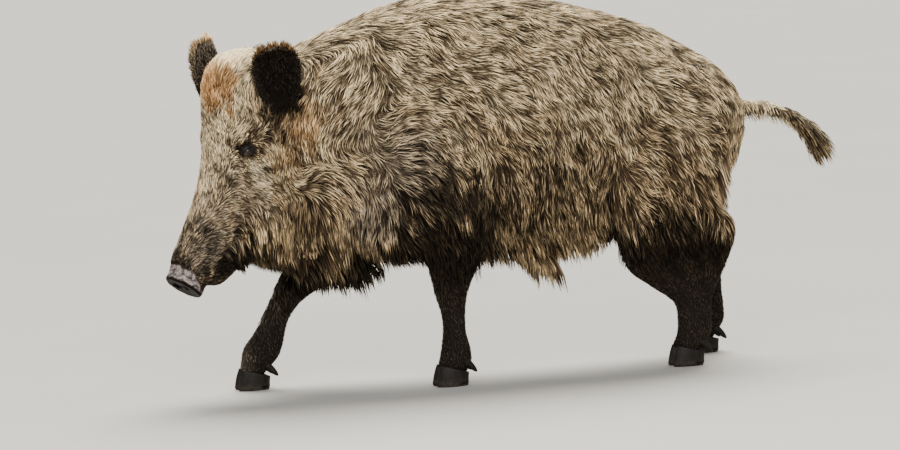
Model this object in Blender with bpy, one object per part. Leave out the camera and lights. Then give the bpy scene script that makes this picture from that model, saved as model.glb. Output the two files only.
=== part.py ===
"""Wild boar in its winter coat, life size, walking with its head low.

Everything is worked out in the animal's own terms: s forward, t to its left, z up
from the floor, in metres.  In the finished part the nose points to -Y and the left
side to +X, and the part stands centred on the origin.  The body is one distance
function, a smooth union of stacked oval sections, cones and balls that reaches to
the tips of the coat.  Its surface is taken on a grid, then parted into named solids
with thin cuts.  Ears, eyes, snout disc, hooves and dewclaws are solids of their own.
"""
import math

import bmesh
import bpy
import numpy as np
from mathutils import Vector

GRID = 0.009            # step of the grid the body is taken on
BODY_TRIANGLES = 3450   # triangles kept over the whole body
GAP = 0.0003            # width of every cut and joint gap
BLEND_LEG = 0.03        # how softly a leg runs into the trunk
BLEND_HEAD = 0.05       # how softly the head runs into the neck

HEAD_ORIGIN = (0.4405, 0.030, 0.5664)    # midway between the ear bases
HEAD_PITCH = math.radians(67.0)          # muzzle below the level
HEAD_YAW = math.radians(11.3)            # muzzle to the left
HEAD_ROLL = math.radians(19.3)           # forehead to the left
HEAD_END = 0.371                         # where the snout disc begins
DISC_LENGTH = 0.0155
DISC_RADIUS = 0.0385
DISC_TILT = math.radians(13.0)               # how far the disc's face looks up
DISC_HINGE = (0.3865, -0.036)                # the low edge of its face, along and above
NOSTRIL = (0.0145, 0.003, 0.0062, 0.011)  # side, height, radius, depth

EYE = (0.099, 0.0570, 0.003)             # along, across and above the head's line
EYE_RADIUS = 0.012
EYE_PROUD = 0.0042                       # how far the eyeball stands out of its bowl
EYE_BOWL = 0.019

# Left and right ear: root, way to the tip and way the cup faces, in head terms.
EARS = {1: ((0.006, 0.107, -0.008), (-0.81, -0.04, 0.58), (0.38, 0.75, 0.53)),
        -1: ((0.0152, -0.1057, -0.0117), (-0.795, 0.025, 0.606), (0.153, -0.959, 0.240))}
EAR_LENGTH = 0.128
EAR_HALF_WIDTHS = (0.026, 0.037, 0.0445, 0.0475, 0.046, 0.038, 0.024, 0.006)
EAR_CUP = (0.028, 0.012)                 # depth of the cup at the root and the tip
EAR_THICK = (0.011, 0.0045)

HOOF_LENGTH = 0.062
HOOF_WIDTH = 0.0285
CLEFT = 0.0016                           # half the space between two hooves
CORONET_FRONT = 0.044
CORONET_BACK = 0.026

# Sections along the body: s, bottom, top, level of the widest line, middle, half width.
TRUNK = (
    (-0.553, 0.440, 0.500, 0.470, 0.000, 0.030),
    (-0.544, 0.405, 0.530, 0.460, 0.000, 0.065),
    (-0.525, 0.370, 0.560, 0.450, 0.000, 0.093),
    (-0.490, 0.340, 0.594, 0.450, 0.000, 0.120),
    (-0.440, 0.310, 0.625, 0.450, 0.000, 0.139),
    (-0.390, 0.285, 0.655, 0.440, 0.000, 0.151),
    (-0.330, 0.262, 0.681, 0.440, 0.000, 0.159),
    (-0.250, 0.240, 0.706, 0.440, 0.000, 0.167),
    (-0.170, 0.226, 0.726, 0.440, 0.000, 0.173),
    (-0.080, 0.220, 0.742, 0.440, 0.000, 0.176),
    (0.020, 0.222, 0.749, 0.440, 0.000, 0.176),
    (0.100, 0.230, 0.746, 0.450, 0.000, 0.174),
    (0.180, 0.235, 0.729, 0.455, 0.000, 0.168),
    (0.250, 0.245, 0.705, 0.460, 0.003, 0.157),
    (0.300, 0.270, 0.686, 0.465, 0.006, 0.145),
    (0.340, 0.305, 0.668, 0.475, 0.010, 0.130),
    (0.380, 0.350, 0.655, 0.490, 0.015, 0.112),
    (0.420, 0.400, 0.640, 0.510, 0.022, 0.095),
    (0.450, 0.450, 0.600, 0.530, 0.028, 0.070),
)
# Sections up each leg: z, back, front, middle, distance from the midline, half width.
LEFT_FORE = (
    (0.400, 0.000, 0.200, 0.100, 0.115, 0.060),
    (0.330, -0.020, 0.175, 0.075, 0.120, 0.058),
    (0.285, -0.012, 0.155, 0.070, 0.120, 0.052),
    (0.255, 0.008, 0.135, 0.070, 0.118, 0.046),
    (0.232, 0.022, 0.124, 0.073, 0.115, 0.041),
    (0.197, 0.036, 0.117, 0.077, 0.113, 0.034),
    (0.170, 0.046, 0.112, 0.079, 0.112, 0.0315),
    (0.150, 0.049, 0.106, 0.078, 0.112, 0.0290),
    (0.128, 0.0505, 0.1025, 0.0765, 0.112, 0.0265),
    (0.100, 0.050, 0.1025, 0.076, 0.112, 0.0260),
    (0.072, 0.044, 0.107, 0.0755, 0.112, 0.0290),
    (0.050, 0.042, 0.112, 0.078, 0.112, 0.0310),
    (0.030, 0.050, 0.120, 0.085, 0.112, 0.0290),
    (0.010, 0.060, 0.130, 0.095, 0.112, 0.0280),
)
RIGHT_FORE = (
    (0.360, 0.130, 0.290, 0.210, 0.105, 0.060),
    (0.300, 0.165, 0.315, 0.240, 0.110, 0.056),
    (0.250, 0.205, 0.335, 0.270, 0.105, 0.048),
    (0.212, 0.245, 0.361, 0.303, 0.100, 0.040),
    (0.184, 0.285, 0.377, 0.331, 0.097, 0.034),
    (0.160, 0.325, 0.390, 0.358, 0.095, 0.0300),
    (0.147, 0.338, 0.398, 0.368, 0.094, 0.0290),
    (0.124, 0.351, 0.412, 0.3815, 0.093, 0.0275),
    (0.100, 0.357, 0.430, 0.3935, 0.092, 0.0285),
    (0.080, 0.363, 0.446, 0.4045, 0.091, 0.0305),
    (0.060, 0.372, 0.452, 0.412, 0.090, 0.0310),
    (0.030, 0.400, 0.459, 0.430, 0.090, 0.0290),
    (0.010, 0.410, 0.465, 0.440, 0.090, 0.0280),
)
LEFT_HIND = (
    (0.570, -0.490, -0.360, -0.430, 0.062, 0.052),
    (0.520, -0.515, -0.310, -0.420, 0.080, 0.074),
    (0.460, -0.518, -0.270, -0.400, 0.088, 0.082),
    (0.400, -0.508, -0.240, -0.385, 0.093, 0.082),
    (0.350, -0.496, -0.225, -0.375, 0.097, 0.075),
    (0.315, -0.487, -0.226, -0.370, 0.100, 0.066),
    (0.295, -0.490, -0.230, -0.380, 0.100, 0.060),
    (0.272, -0.508, -0.240, -0.400, 0.100, 0.053),
    (0.250, -0.508, -0.250, -0.405, 0.100, 0.046),
    (0.220, -0.497, -0.258, -0.400, 0.100, 0.040),
    (0.188, -0.479, -0.278, -0.400, 0.100, 0.034),
    (0.155, -0.460, -0.322, -0.400, 0.100, 0.0300),
    (0.125, -0.448, -0.362, -0.405, 0.100, 0.0275),
    (0.090, -0.444, -0.370, -0.407, 0.100, 0.0290),
    (0.060, -0.442, -0.367, -0.404, 0.100, 0.0310),
    (0.030, -0.420, -0.352, -0.385, 0.100, 0.0290),
    (0.010, -0.410, -0.345, -0.378, 0.100, 0.0280),
)
RIGHT_HIND = (
    (0.570, -0.490, -0.360, -0.430, 0.062, 0.052),
    (0.520, -0.518, -0.310, -0.420, 0.080, 0.074),
    (0.460, -0.522, -0.270, -0.400, 0.088, 0.082),
    (0.400, -0.520, -0.250, -0.390, 0.093, 0.080),
    (0.350, -0.518, -0.250, -0.390, 0.097, 0.072),
    (0.315, -0.520, -0.265, -0.400, 0.100, 0.063),
    (0.295, -0.530, -0.280, -0.420, 0.100, 0.057),
    (0.272, -0.548, -0.300, -0.440, 0.100, 0.050),
    (0.250, -0.550, -0.330, -0.455, 0.100, 0.044),
    (0.220, -0.546, -0.375, -0.470, 0.100, 0.038),
    (0.188, -0.541, -0.420, -0.487, 0.100, 0.032),
    (0.150, -0.536, -0.460, -0.500, 0.100, 0.0285),
    (0.120, -0.536, -0.476, -0.506, 0.100, 0.0270),
    (0.090, -0.538, -0.472, -0.505, 0.100, 0.0290),
    (0.060, -0.536, -0.464, -0.500, 0.100, 0.0310),
    (0.030, -0.515, -0.452, -0.483, 0.100, 0.0290),
    (0.010, -0.505, -0.445, -0.475, 0.100, 0.0280),
)
# Sections along the head: distance from the ear line, underside, top, widest, 0, half width.
HEAD = (
    (-0.085, -0.030, 0.035, 0.000, 0, 0.040),
    (-0.070, -0.080, 0.064, -0.020, 0, 0.064),
    (-0.040, -0.140, 0.087, -0.040, 0, 0.081),
    (0.000, -0.170, 0.091, -0.050, 0, 0.088),
    (0.030, -0.180, 0.081, -0.055, 0, 0.093),
    (0.070, -0.190, 0.059, -0.060, 0, 0.095),
    (0.100, -0.190, 0.044, -0.060, 0, 0.088),
    (0.140, -0.180, 0.034, -0.060, 0, 0.079),
    (0.173, -0.165, 0.030, -0.055, 0, 0.069),
    (0.219, -0.140, 0.031, -0.045, 0, 0.057),
    (0.265, -0.120, 0.034, -0.035, 0, 0.049),
    (0.300, -0.105, 0.038, -0.030, 0, 0.0455),
    (0.325, -0.088, 0.040, -0.022, 0, 0.042),
    (0.345, -0.060, 0.036, -0.012, 0, 0.038),
    (0.362, -0.042, 0.033, -0.002, 0, 0.0355),
    (0.376, -0.037, 0.034, 0.000, 0, 0.036),
)
# Along the tail: s, z, radius.
TAIL = (
    (-0.530, 0.487, 0.020),
    (-0.600, 0.482, 0.0165),
    (-0.650, 0.466, 0.0150),
    (-0.685, 0.442, 0.0190),
    (-0.705, 0.418, 0.0245),
    (-0.727, 0.388, 0.0190),
    (-0.750, 0.350, 0.0050),
)

MATERIALS = {
    "coat": ((0.200, 0.145, 0.092), 0.90),
    "legs": ((0.030, 0.025, 0.020), 0.85),
    "ear": ((0.040, 0.030, 0.024), 0.85),
    "snout": ((0.150, 0.125, 0.120), 0.60),
    "hoof": ((0.045, 0.038, 0.033), 0.55),
    "eye": ((0.015, 0.010, 0.008), 0.10),
    "tail": ((0.260, 0.200, 0.140), 0.90),
    "tassel": ((0.060, 0.045, 0.033), 0.90),
}


def clear_scene():
    """Take every object that is already there out of the file."""
    for old in list(bpy.data.objects):
        bpy.data.objects.remove(old, do_unlink=True)


def make_materials():
    """One plain material for each slot."""
    made = {}
    for name, (colour, rough) in MATERIALS.items():
        mat = bpy.data.materials.new(name)
        mat.use_nodes = True
        shader = mat.node_tree.nodes["Principled BSDF"]
        shader.inputs["Base Color"].default_value = (*colour, 1.0)
        shader.inputs["Roughness"].default_value = rough
        mat.diffuse_color = (*colour, 1.0)
        made[name] = mat
    return made


# ---------------------------------------------------------------- distance functions
def head_frame():
    """Rows: along the muzzle, to the left, out of the forehead."""
    cp, sp = math.cos(HEAD_PITCH), math.sin(HEAD_PITCH)
    cy, sy = math.cos(HEAD_YAW), math.sin(HEAD_YAW)
    along = np.array((cp * cy, cp * sy, -sp))
    flat = np.array((-sy, cy, 0.0))
    up = np.cross(along, flat)
    left = math.cos(HEAD_ROLL) * flat - math.sin(HEAD_ROLL) * up
    return np.stack((along, left, np.cross(along, left)))


HEAD_AXES = head_frame()


def from_head(q):
    """Head terms (along, left, above) to animal terms."""
    return np.asarray(q, float) @ HEAD_AXES + np.array(HEAD_ORIGIN)


def tip_back(q):
    """Points of the snout disc, in head terms, turned about the low edge of its face."""
    q = np.array(q, float)
    x, w = q[..., 0] - DISC_HINGE[0], q[..., 2] - DISC_HINGE[1]
    c, s = math.cos(DISC_TILT), math.sin(DISC_TILT)
    return np.stack((DISC_HINGE[0] + x * c - w * s, q[..., 1], DISC_HINGE[1] + x * s + w * c), -1)


def blend(a, b, k):
    """Smooth union of two distances over the width k."""
    h = np.clip(0.5 + 0.5 * (b - a) / k, 0, 1)
    return b + (a - b) * h - k * h * (1 - h)


def through(x, xs, ys):
    """A smooth curve through the stations, held at its ends."""
    slope = np.gradient(ys, xs)
    x = np.clip(x, xs[0], xs[-1])
    i = np.clip(np.searchsorted(xs, x, side="right") - 1, 0, len(xs) - 2)
    step = xs[i + 1] - xs[i]
    u = (x - xs[i]) / step
    a = (2 * u**3 - 3 * u**2 + 1) * ys[i] + (u**3 - 2 * u**2 + u) * step * slope[i]
    b = (3 * u**2 - 2 * u**3) * ys[i + 1] + (u**3 - u**2) * step * slope[i + 1]
    return a + b


def stack(p, axis, table, side=1.0, power=2.05):
    """Distance to oval sections stacked along s (axis 0) or z (axis 2)."""
    rows = np.array(sorted(table))
    other = 2 if axis == 0 else 0
    level = np.clip(p[:, axis], rows[0, 0], rows[-1, 0])
    lo, hi, mid, off, half = (through(level, rows[:, 0], rows[:, k]) for k in range(1, 6))
    v = p[:, other] - mid
    v = np.where(v > 0, v / np.maximum(hi - mid, 1e-4), v / np.minimum(lo - mid, -1e-4))
    across = p[:, 1] - side * off
    u = np.abs(across) / np.maximum(half, 1e-4)
    f = np.maximum((u**power + v**power) ** (1 / power), 1e-3)
    r = np.hypot(across, p[:, other] - mid)
    d = np.where(f < 2e-3, -half, r - r / f)
    over = np.abs(p[:, axis] - level)
    return np.where(over > 0, np.hypot(np.maximum(d, 0), over), d)


def cone(p, a, b, ra, rb):
    """Distance to a round-ended cone."""
    a, b = np.array(a, float), np.array(b, float)
    q, ab = p - a, b - a
    h = np.clip(q @ ab / (ab @ ab), 0, 1)
    return np.linalg.norm(q - h[:, None] * ab, axis=1) - (ra + (rb - ra) * h)


def ball(p, centre, radii):
    """Distance to an egg with three radii."""
    q = (p - np.array(centre)) / np.array(radii)
    k = np.linalg.norm(q, axis=1)
    g = np.linalg.norm(q / np.array(radii), axis=1)
    return k * (k - 1) / np.maximum(g, 1e-6)


def head_distance(p):
    """Skull, cheeks, lower jaw, the hair below the jaw, and a bowl for each eye."""
    q = (p - np.array(HEAD_ORIGIN)) @ HEAD_AXES.T
    d = stack(q, 0, HEAD)
    for side in (1, -1):
        jaw = cone(q, (0.15, side * 0.045, -0.125), (0.326, side * 0.006, -0.063), 0.05, 0.0255)
        d = blend(d, jaw, 0.02)
        d = blend(d, ball(q, (0.11, side * 0.068, -0.135), (0.13, 0.066, 0.105)), 0.03)
        root = cone(q, (0.02, side * 0.050, -0.03), (0.000, side * 0.075, -0.020), 0.030, 0.020)
        d = blend(d, root, 0.015)
    d = blend(d, ball(q, (0.175, 0, -0.185), (0.115, 0.095, 0.09)), 0.04)
    for side in (1, -1):
        bowl = np.array((EYE[0], side * (EYE[1] + 0.020), EYE[2] + 0.010))
        d = -blend(-d, np.linalg.norm(q - bowl, axis=1) - EYE_BOWL, 0.010)
    return d


def tail_distance(p):
    """The tail as a run of cones."""
    d = None
    for (s0, z0, r0), (s1, z1, r1) in zip(TAIL, TAIL[1:]):
        piece = cone(p, (s0, 0, z0), (s1, 0, z1), r0, r1)
        d = piece if d is None else blend(d, piece, 0.006)
    return d


def body_distance(p):
    """The whole animal but its ears, eyes, snout disc and horn."""
    d = stack(p, 0, TRUNK)
    d = blend(d, ball(p, (0.16, 0.095, 0.42), (0.13, 0.085, 0.19)), 0.04)
    d = blend(d, ball(p, (0.20, -0.095, 0.42), (0.13, 0.085, 0.19)), 0.04)
    for table, side in ((LEFT_FORE, 1), (RIGHT_FORE, -1), (LEFT_HIND, 1), (RIGHT_HIND, -1)):
        d = blend(d, stack(p, 2, table, side), BLEND_LEG)
    d = blend(d, ball(p, (0.30, 0, 0.265), (0.12, 0.075, 0.06)), 0.03)
    d = blend(d, cone(p, (-0.135, 0, 0.235), (-0.146, 0, 0.176), 0.030, 0.007), 0.012)
    d = blend(d, tail_distance(p), 0.02)
    return blend(d, head_distance(p), BLEND_HEAD)


def surface(distance, low, high, step):
    """Points and four-sided faces of the zero surface, one point for each crossed cell."""
    low = np.array(low)
    n = np.ceil((np.array(high) - low) / step).astype(int) + 1
    axes = [low[i] + step * np.arange(n[i]) for i in range(3)]
    grid = np.stack(np.meshgrid(*axes, indexing="ij"), -1).reshape(-1, 3)
    parts = [distance(grid[i:i + 300000]) for i in range(0, len(grid), 300000)]
    v = np.concatenate(parts).reshape(n)
    total = np.zeros((*(n - 1), 3))
    count = np.zeros(n - 1)
    corners = [(i, j, k) for i in (0, 1) for j in (0, 1) for k in (0, 1)]
    for a in corners:
        for axis in range(3):
            if a[axis]:
                continue
            b = tuple(a[e] + (e == axis) for e in range(3))
            va = v[tuple(slice(a[e], n[e] - 1 + a[e]) for e in range(3))]
            vb = v[tuple(slice(b[e], n[e] - 1 + b[e]) for e in range(3))]
            cross = (va < 0) != (vb < 0)
            t = np.where(cross, va / np.where(cross, va - vb, 1), 0)
            for e in range(3):
                total[..., e] += np.where(cross, a[e] + (t if e == axis else 0), 0)
            count += cross
    used = count > 0
    index = -np.ones(used.shape, int)
    index[used] = np.arange(used.sum())
    cells = np.stack(np.nonzero(used), 1)
    points = low + step * (cells + total[used] / count[used][:, None])
    faces = []
    inside = v < 0
    for axis in range(3):
        o = [e for e in range(3) if e != axis]
        first, second = [slice(1, -1)] * 3, [slice(1, -1)] * 3
        first[axis], second[axis] = slice(0, -1), slice(1, None)
        a, b = inside[tuple(first)], inside[tuple(second)]
        for turned, hit in ((False, a & ~b), (True, ~a & b)):
            c = np.stack(np.nonzero(hit), 1)
            c[:, o[0]] += 1
            c[:, o[1]] += 1
            ring = []
            for x, y in ((0, 0), (-1, 0), (-1, -1), (0, -1)):
                k = c.copy()
                k[:, o[0]] += x
                k[:, o[1]] += y
                ring.append(index[k[:, 0], k[:, 1], k[:, 2]])
            ring = np.stack(ring, 1)
            faces.append(ring[:, ::-1] if turned == (axis != 1) else ring)
    return points, np.concatenate(faces)


# ---------------------------------------------------------------- meshes
def to_world(p):
    """Animal terms to the part's own axes: nose to -Y, left to +X."""
    p = np.atleast_2d(np.asarray(p, float))
    return np.stack((p[:, 1], -p[:, 0], p[:, 2]), 1)


def new_object(name, points, faces, material):
    """A mesh object from points in animal terms, its normals turned outward."""
    mesh = bpy.data.meshes.new(name)
    mesh.from_pydata(to_world(points).tolist(), [], [list(map(int, f)) for f in faces])
    bm = bmesh.new()
    bm.from_mesh(mesh)
    bmesh.ops.recalc_face_normals(bm, faces=bm.faces)
    if bm.calc_volume(signed=True) < 0:
        bmesh.ops.reverse_faces(bm, faces=bm.faces)
    bm.to_mesh(mesh)
    bm.free()
    obj = bpy.data.objects.new(name, mesh)
    bpy.context.scene.collection.objects.link(obj)
    mesh.materials.append(material)
    return obj


def settle(obj):
    """Turn an object's modifiers into plain mesh."""
    graph = bpy.context.evaluated_depsgraph_get()
    mesh = bpy.data.meshes.new_from_object(obj.evaluated_get(graph))
    old = obj.data
    obj.modifiers.clear()
    obj.data = mesh
    mesh.name = obj.name
    bpy.data.meshes.remove(old)


def boolean(obj, other, kind):
    """Cut an object with another, exactly."""
    mod = obj.modifiers.new(kind.lower(), "BOOLEAN")
    mod.operation = kind
    mod.solver = "EXACT"
    mod.object = other
    settle(obj)


def grown(obj, by):
    """A copy of an object with its surface moved out."""
    copy = obj.copy()
    copy.data = obj.data.copy()
    bpy.context.scene.collection.objects.link(copy)
    mesh = copy.data
    co = np.empty(len(mesh.vertices) * 3)
    no = np.empty(len(mesh.vertices) * 3)
    mesh.vertices.foreach_get("co", co)
    mesh.vertex_normals.foreach_get("vector", no)
    mesh.vertices.foreach_set("co", co + by * no)
    return copy


def drop(obj):
    """Remove an object and its mesh."""
    mesh = obj.data
    bpy.data.objects.remove(obj, do_unlink=True)
    bpy.data.meshes.remove(mesh)


def half(obj, name, point, normal, keep_front):
    """The part of an object on one side of a plane, moved half a gap off it and capped."""
    normal = Vector(to_world(normal)[0]).normalized()
    point = Vector(to_world(point)[0]) + normal * (GAP / 2 if keep_front else -GAP / 2)
    bm = bmesh.new()
    bm.from_mesh(obj.data)
    bmesh.ops.bisect_plane(
        bm, geom=bm.verts[:] + bm.edges[:] + bm.faces[:], plane_co=point, plane_no=normal,
        clear_inner=keep_front, clear_outer=not keep_front, dist=1e-6)
    rim = [e for e in bm.edges if e.is_boundary]
    bmesh.ops.holes_fill(bm, edges=rim, sides=0)
    bmesh.ops.recalc_face_normals(bm, faces=bm.faces)
    mesh = bpy.data.meshes.new(name)
    bm.to_mesh(mesh)
    bm.free()
    for mat in obj.data.materials:
        mesh.materials.append(mat)
    out = bpy.data.objects.new(name, mesh)
    bpy.context.scene.collection.objects.link(out)
    return out


def part_at(obj, front_name, back_name, point, normal):
    """Cut an object in two at a plane; the front half lies on the normal's side."""
    front = half(obj, front_name, point, normal, True)
    back = half(obj, back_name, point, normal, False)
    drop(obj)
    return front, back


def prism(name, outline, near, far, grow=0.0):
    """A block with an (s, z) outline, from t = near to t = far, grown all round."""
    ring = np.array(outline, float)
    centre = ring.mean(0)
    edges = np.roll(ring, -1, 0) - ring
    out = np.stack((edges[:, 1], -edges[:, 0]), 1)
    out /= np.linalg.norm(out, axis=1)[:, None]
    mids = (ring + np.roll(ring, -1, 0)) / 2
    out *= np.sign(((mids - centre) * out).sum(1))[:, None]
    moved = []
    for i in range(len(ring)):
        a, b = out[i - 1], out[i]
        m = np.linalg.solve(np.stack((a, b)), np.array((grow, grow)))
        moved.append(ring[i] + m)
    lo, hi = min(near, far) - grow, max(near, far) + grow
    pts = [(s, t, z) for t in (lo, hi) for s, z in moved]
    k = len(moved)
    faces = [list(range(k)), list(range(k, 2 * k))]
    faces += [[i, (i + 1) % k, (i + 1) % k + k, i + k] for i in range(k)]
    return new_object(name, pts, faces, bpy.data.materials["coat"])


def take_out(body, name, outline, near, far):
    """Part a block-shaped region from the body; both sides keep half the gap."""
    piece = body.copy()
    piece.data = body.data.copy()
    piece.name = name
    bpy.context.scene.collection.objects.link(piece)
    inner = prism("inner", outline, near, far, -GAP / 2)
    outer = prism("outer", outline, near, far, GAP / 2)
    boolean(piece, inner, "INTERSECT")
    boolean(body, outer, "DIFFERENCE")
    drop(inner)
    drop(outer)
    return piece


def paint(obj, material):
    """Give an object one material."""
    obj.data.materials.clear()
    obj.data.materials.append(material)
    for face in obj.data.polygons:
        face.material_index = 0


# ---------------------------------------------------------------- the pieces
def build_body(mats):
    """The whole body as one closed mesh with a steady number of triangles."""
    points, faces = surface(body_distance, (-0.79, -0.23, -0.009), (0.66, 0.24, 0.78), GRID)
    body = new_object("body", points, faces, mats["coat"])
    mod = body.modifiers.new("fewer", "DECIMATE")
    mod.ratio = BODY_TRIANGLES / (2 * len(faces))
    settle(body)
    return body


def part_legs(body, mats):
    """Take each leg off the trunk, then part it at the knee or hock and the fetlock."""
    legs = (
        ("left_fore", ((-0.06, 0.262), (0.19, 0.262), (0.20, -0.05), (-0.06, -0.05)), 0.045, 0.30,
         (0.165, 0.09), 0.112, (0.078, 0.085)),
        ("right_fore", ((0.16, 0.262), (0.40, 0.262), (0.55, -0.05), (0.16, -0.05)), -0.045, -0.30,
         (0.180, 0.11), 0.090, (0.345, 0.425)),
        ("left_hind", ((-0.60, 0.330), (-0.20, 0.270), (-0.20, -0.05), (-0.60, -0.05)), 0.030, 0.30,
         (0.250, 0.09), 0.100, (-0.41, -0.385)),
        ("right_hind", ((-0.60, 0.330), (-0.20, 0.270), (-0.20, -0.05), (-0.60, -0.05)), -0.030, -0.30,
         (0.250, 0.09), 0.100, (-0.50, -0.485)),
    )
    feet = {}
    for name, outline, near, far, (knee, fetlock), off, (s_knee, s_foot) in legs:
        leg = take_out(body, name, outline, near, far)
        tilt = 0.45 if name == "right_fore" else 0.0
        upper, rest = part_at(leg, name + "_upper_leg", name + "_rest",
                              (s_knee, 0, knee), (-tilt, 0, 1.0))
        lower, foot = part_at(rest, name + "_lower_leg", name + "_foot",
                              (s_foot, 0, fetlock), (-tilt, 0, 1.0))
        slope = (CORONET_FRONT - CORONET_BACK) / HOOF_LENGTH
        level = (CORONET_FRONT + CORONET_BACK) / 2
        foot_s = FOOT[name][0]
        trimmed = half(foot, name + "_pastern", (foot_s, 0, level), (-slope, 0, 1.0), True)
        drop(foot)
        for piece in (upper, lower, trimmed):
            paint(piece, mats["legs"])
        feet[name] = trimmed
    return feet


FOOT = {
    "left_fore": (0.089, 0.112),
    "right_fore": (0.430, -0.090),
    "left_hind": (-0.386, 0.100),
    "right_hind": (-0.484, -0.100),
}


def hoof(name, s, t, side, mats):
    """One claw: a drop-shaped outline drawn in at the coronet and flat on the floor."""
    turns = 10
    rings = []
    for level, shrink, back in ((0.0, 0.94, 0.0), (0.006, 1.0, 0.0), (0.5, 0.95, 0.002), (1.0, 0.86, 0.006)):
        ring = []
        for i in range(turns):
            a = 2 * math.pi * i / turns
            f, w = math.cos(a), math.sin(a)
            width = HOOF_WIDTH / 2 * (1.0 - 0.28 * max(f, 0.0) ** 2)
            if w * side < 0:
                width *= 0.92
            ahead = HOOF_LENGTH / 2 * f * shrink - back
            top = (CORONET_FRONT + CORONET_BACK) / 2 - GAP
            top += (CORONET_FRONT - CORONET_BACK) * ahead / HOOF_LENGTH
            height = level if level in (0.0, 0.006) else level * top
            away = side * (CLEFT + HOOF_WIDTH / 2) + width * w * shrink
            ring.append((s + ahead, t + away, height))
        rings.append(ring)
    pts = [p for ring in rings for p in ring]
    faces = [list(range(turns)), list(range(3 * turns, 4 * turns))]
    for r in range(3):
        for i in range(turns):
            j = (i + 1) % turns
            faces.append([r * turns + i, r * turns + j, (r + 1) * turns + j, (r + 1) * turns + i])
    return new_object(name, pts, faces, mats["hoof"])


def dewclaw(name, s, t, side, foot, mats):
    """A small cone of horn behind the pastern, clear of it by the gap."""
    turns = 5
    root = np.array((s - 0.018, t + side * 0.015, 0.052))
    tip = np.array((s - 0.049, t + side * 0.020, 0.024))
    along = (tip - root) / np.linalg.norm(tip - root)
    across = np.cross(along, (0, 1, 0))
    across /= np.linalg.norm(across)
    third = np.cross(along, across)
    pts = []
    for k, r in ((0.0, 0.008), (0.55, 0.0075), (0.9, 0.0048)):
        for i in range(turns):
            a = 2 * math.pi * i / turns
            ring = r * (math.cos(a) * across + math.sin(a) * third)
            pts.append(root + (tip - root) * k + ring)
    pts.append(tip)
    faces = [list(range(turns))]
    for r in range(2):
        for i in range(turns):
            j = (i + 1) % turns
            faces.append([r * turns + i, r * turns + j, (r + 1) * turns + j, (r + 1) * turns + i])
    faces += [[2 * turns + i, 2 * turns + (i + 1) % turns, 3 * turns] for i in range(turns)]
    claw = new_object(name, pts, faces, mats["hoof"])
    keep_off = grown(foot, GAP)
    boolean(claw, keep_off, "DIFFERENCE")
    drop(keep_off)
    return claw


def build_feet(feet, mats):
    """Two hooves and two dewclaws under every leg."""
    for name, foot in feet.items():
        s, t = FOOT[name]
        for side, word in ((1, "a"), (-1, "b")):
            outer = "outer" if side * t > 0 else "inner"
            hoof(f"{name}_hoof_{outer}", s, t, side, mats)
            dewclaw(f"{name}_dewclaw_{outer}", s, t, side, foot, mats)


def part_trunk(body, mats):
    """Tail, head, neck, shoulders, barrel, belly, brush and rump, in that order."""
    rest, tail = part_at(body, "rest", "tail", (-0.566, 0, 0.487), (1, 0, 0.03))
    stem, tassel = part_at(tail, "tail_stem", "tail_tassel", (-0.672, 0, 0.452), (0.84, 0, 0.54))
    paint(stem, mats["tail"])
    paint(tassel, mats["tassel"])
    head, rest = part_at(rest, "head", "rest_2", (0.36, 0, 0.66), (0.96, 0, -0.28))
    neck, rest = part_at(rest, "neck", "rest_3", (0.25, 0, 0.70), (0.97, 0, -0.24))
    shoulders, rest = part_at(rest, "shoulders", "rest_4", (0.0, 0, 0.4), (1, 0, 0))
    barrel, rump = part_at(rest, "barrel_whole", "rump", (-0.30, 0, 0.4), (1, 0, 0))
    barrel, belly = part_at(barrel, "barrel", "belly_whole", (0, 0, 0.300), (0, 0, 1))
    brush = take_out(belly, "belly_brush", ((-0.21, 0.2145), (-0.07, 0.2145), (-0.07, 0.1), (-0.21, 0.1)),
                     -0.06, 0.06)
    belly.name = "belly"
    return head, brush


def part_head(head, mats):
    """Muzzle, lower jaw, cranium, cheeks and a throat out of the head."""
    along, _, above = HEAD_AXES
    front, back = part_at(head, "front", "back", from_head((0.165, 0, 0.03)), along + above)
    tilt = above - 0.30 * along
    facing = math.cos(DISC_TILT) * along + math.sin(DISC_TILT) * above
    nose = half(front, "nose", from_head(tip_back((HEAD_END, 0, 0))), facing, False)
    drop(front)
    muzzle_end, jaw = part_at(nose, "muzzle", "lower_jaw", from_head((0.29, 0, -0.058)), tilt)
    cranium, under = part_at(back, "cranium", "cheeks", from_head((0.10, 0, -0.075)), above)
    return cranium, muzzle_end


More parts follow.
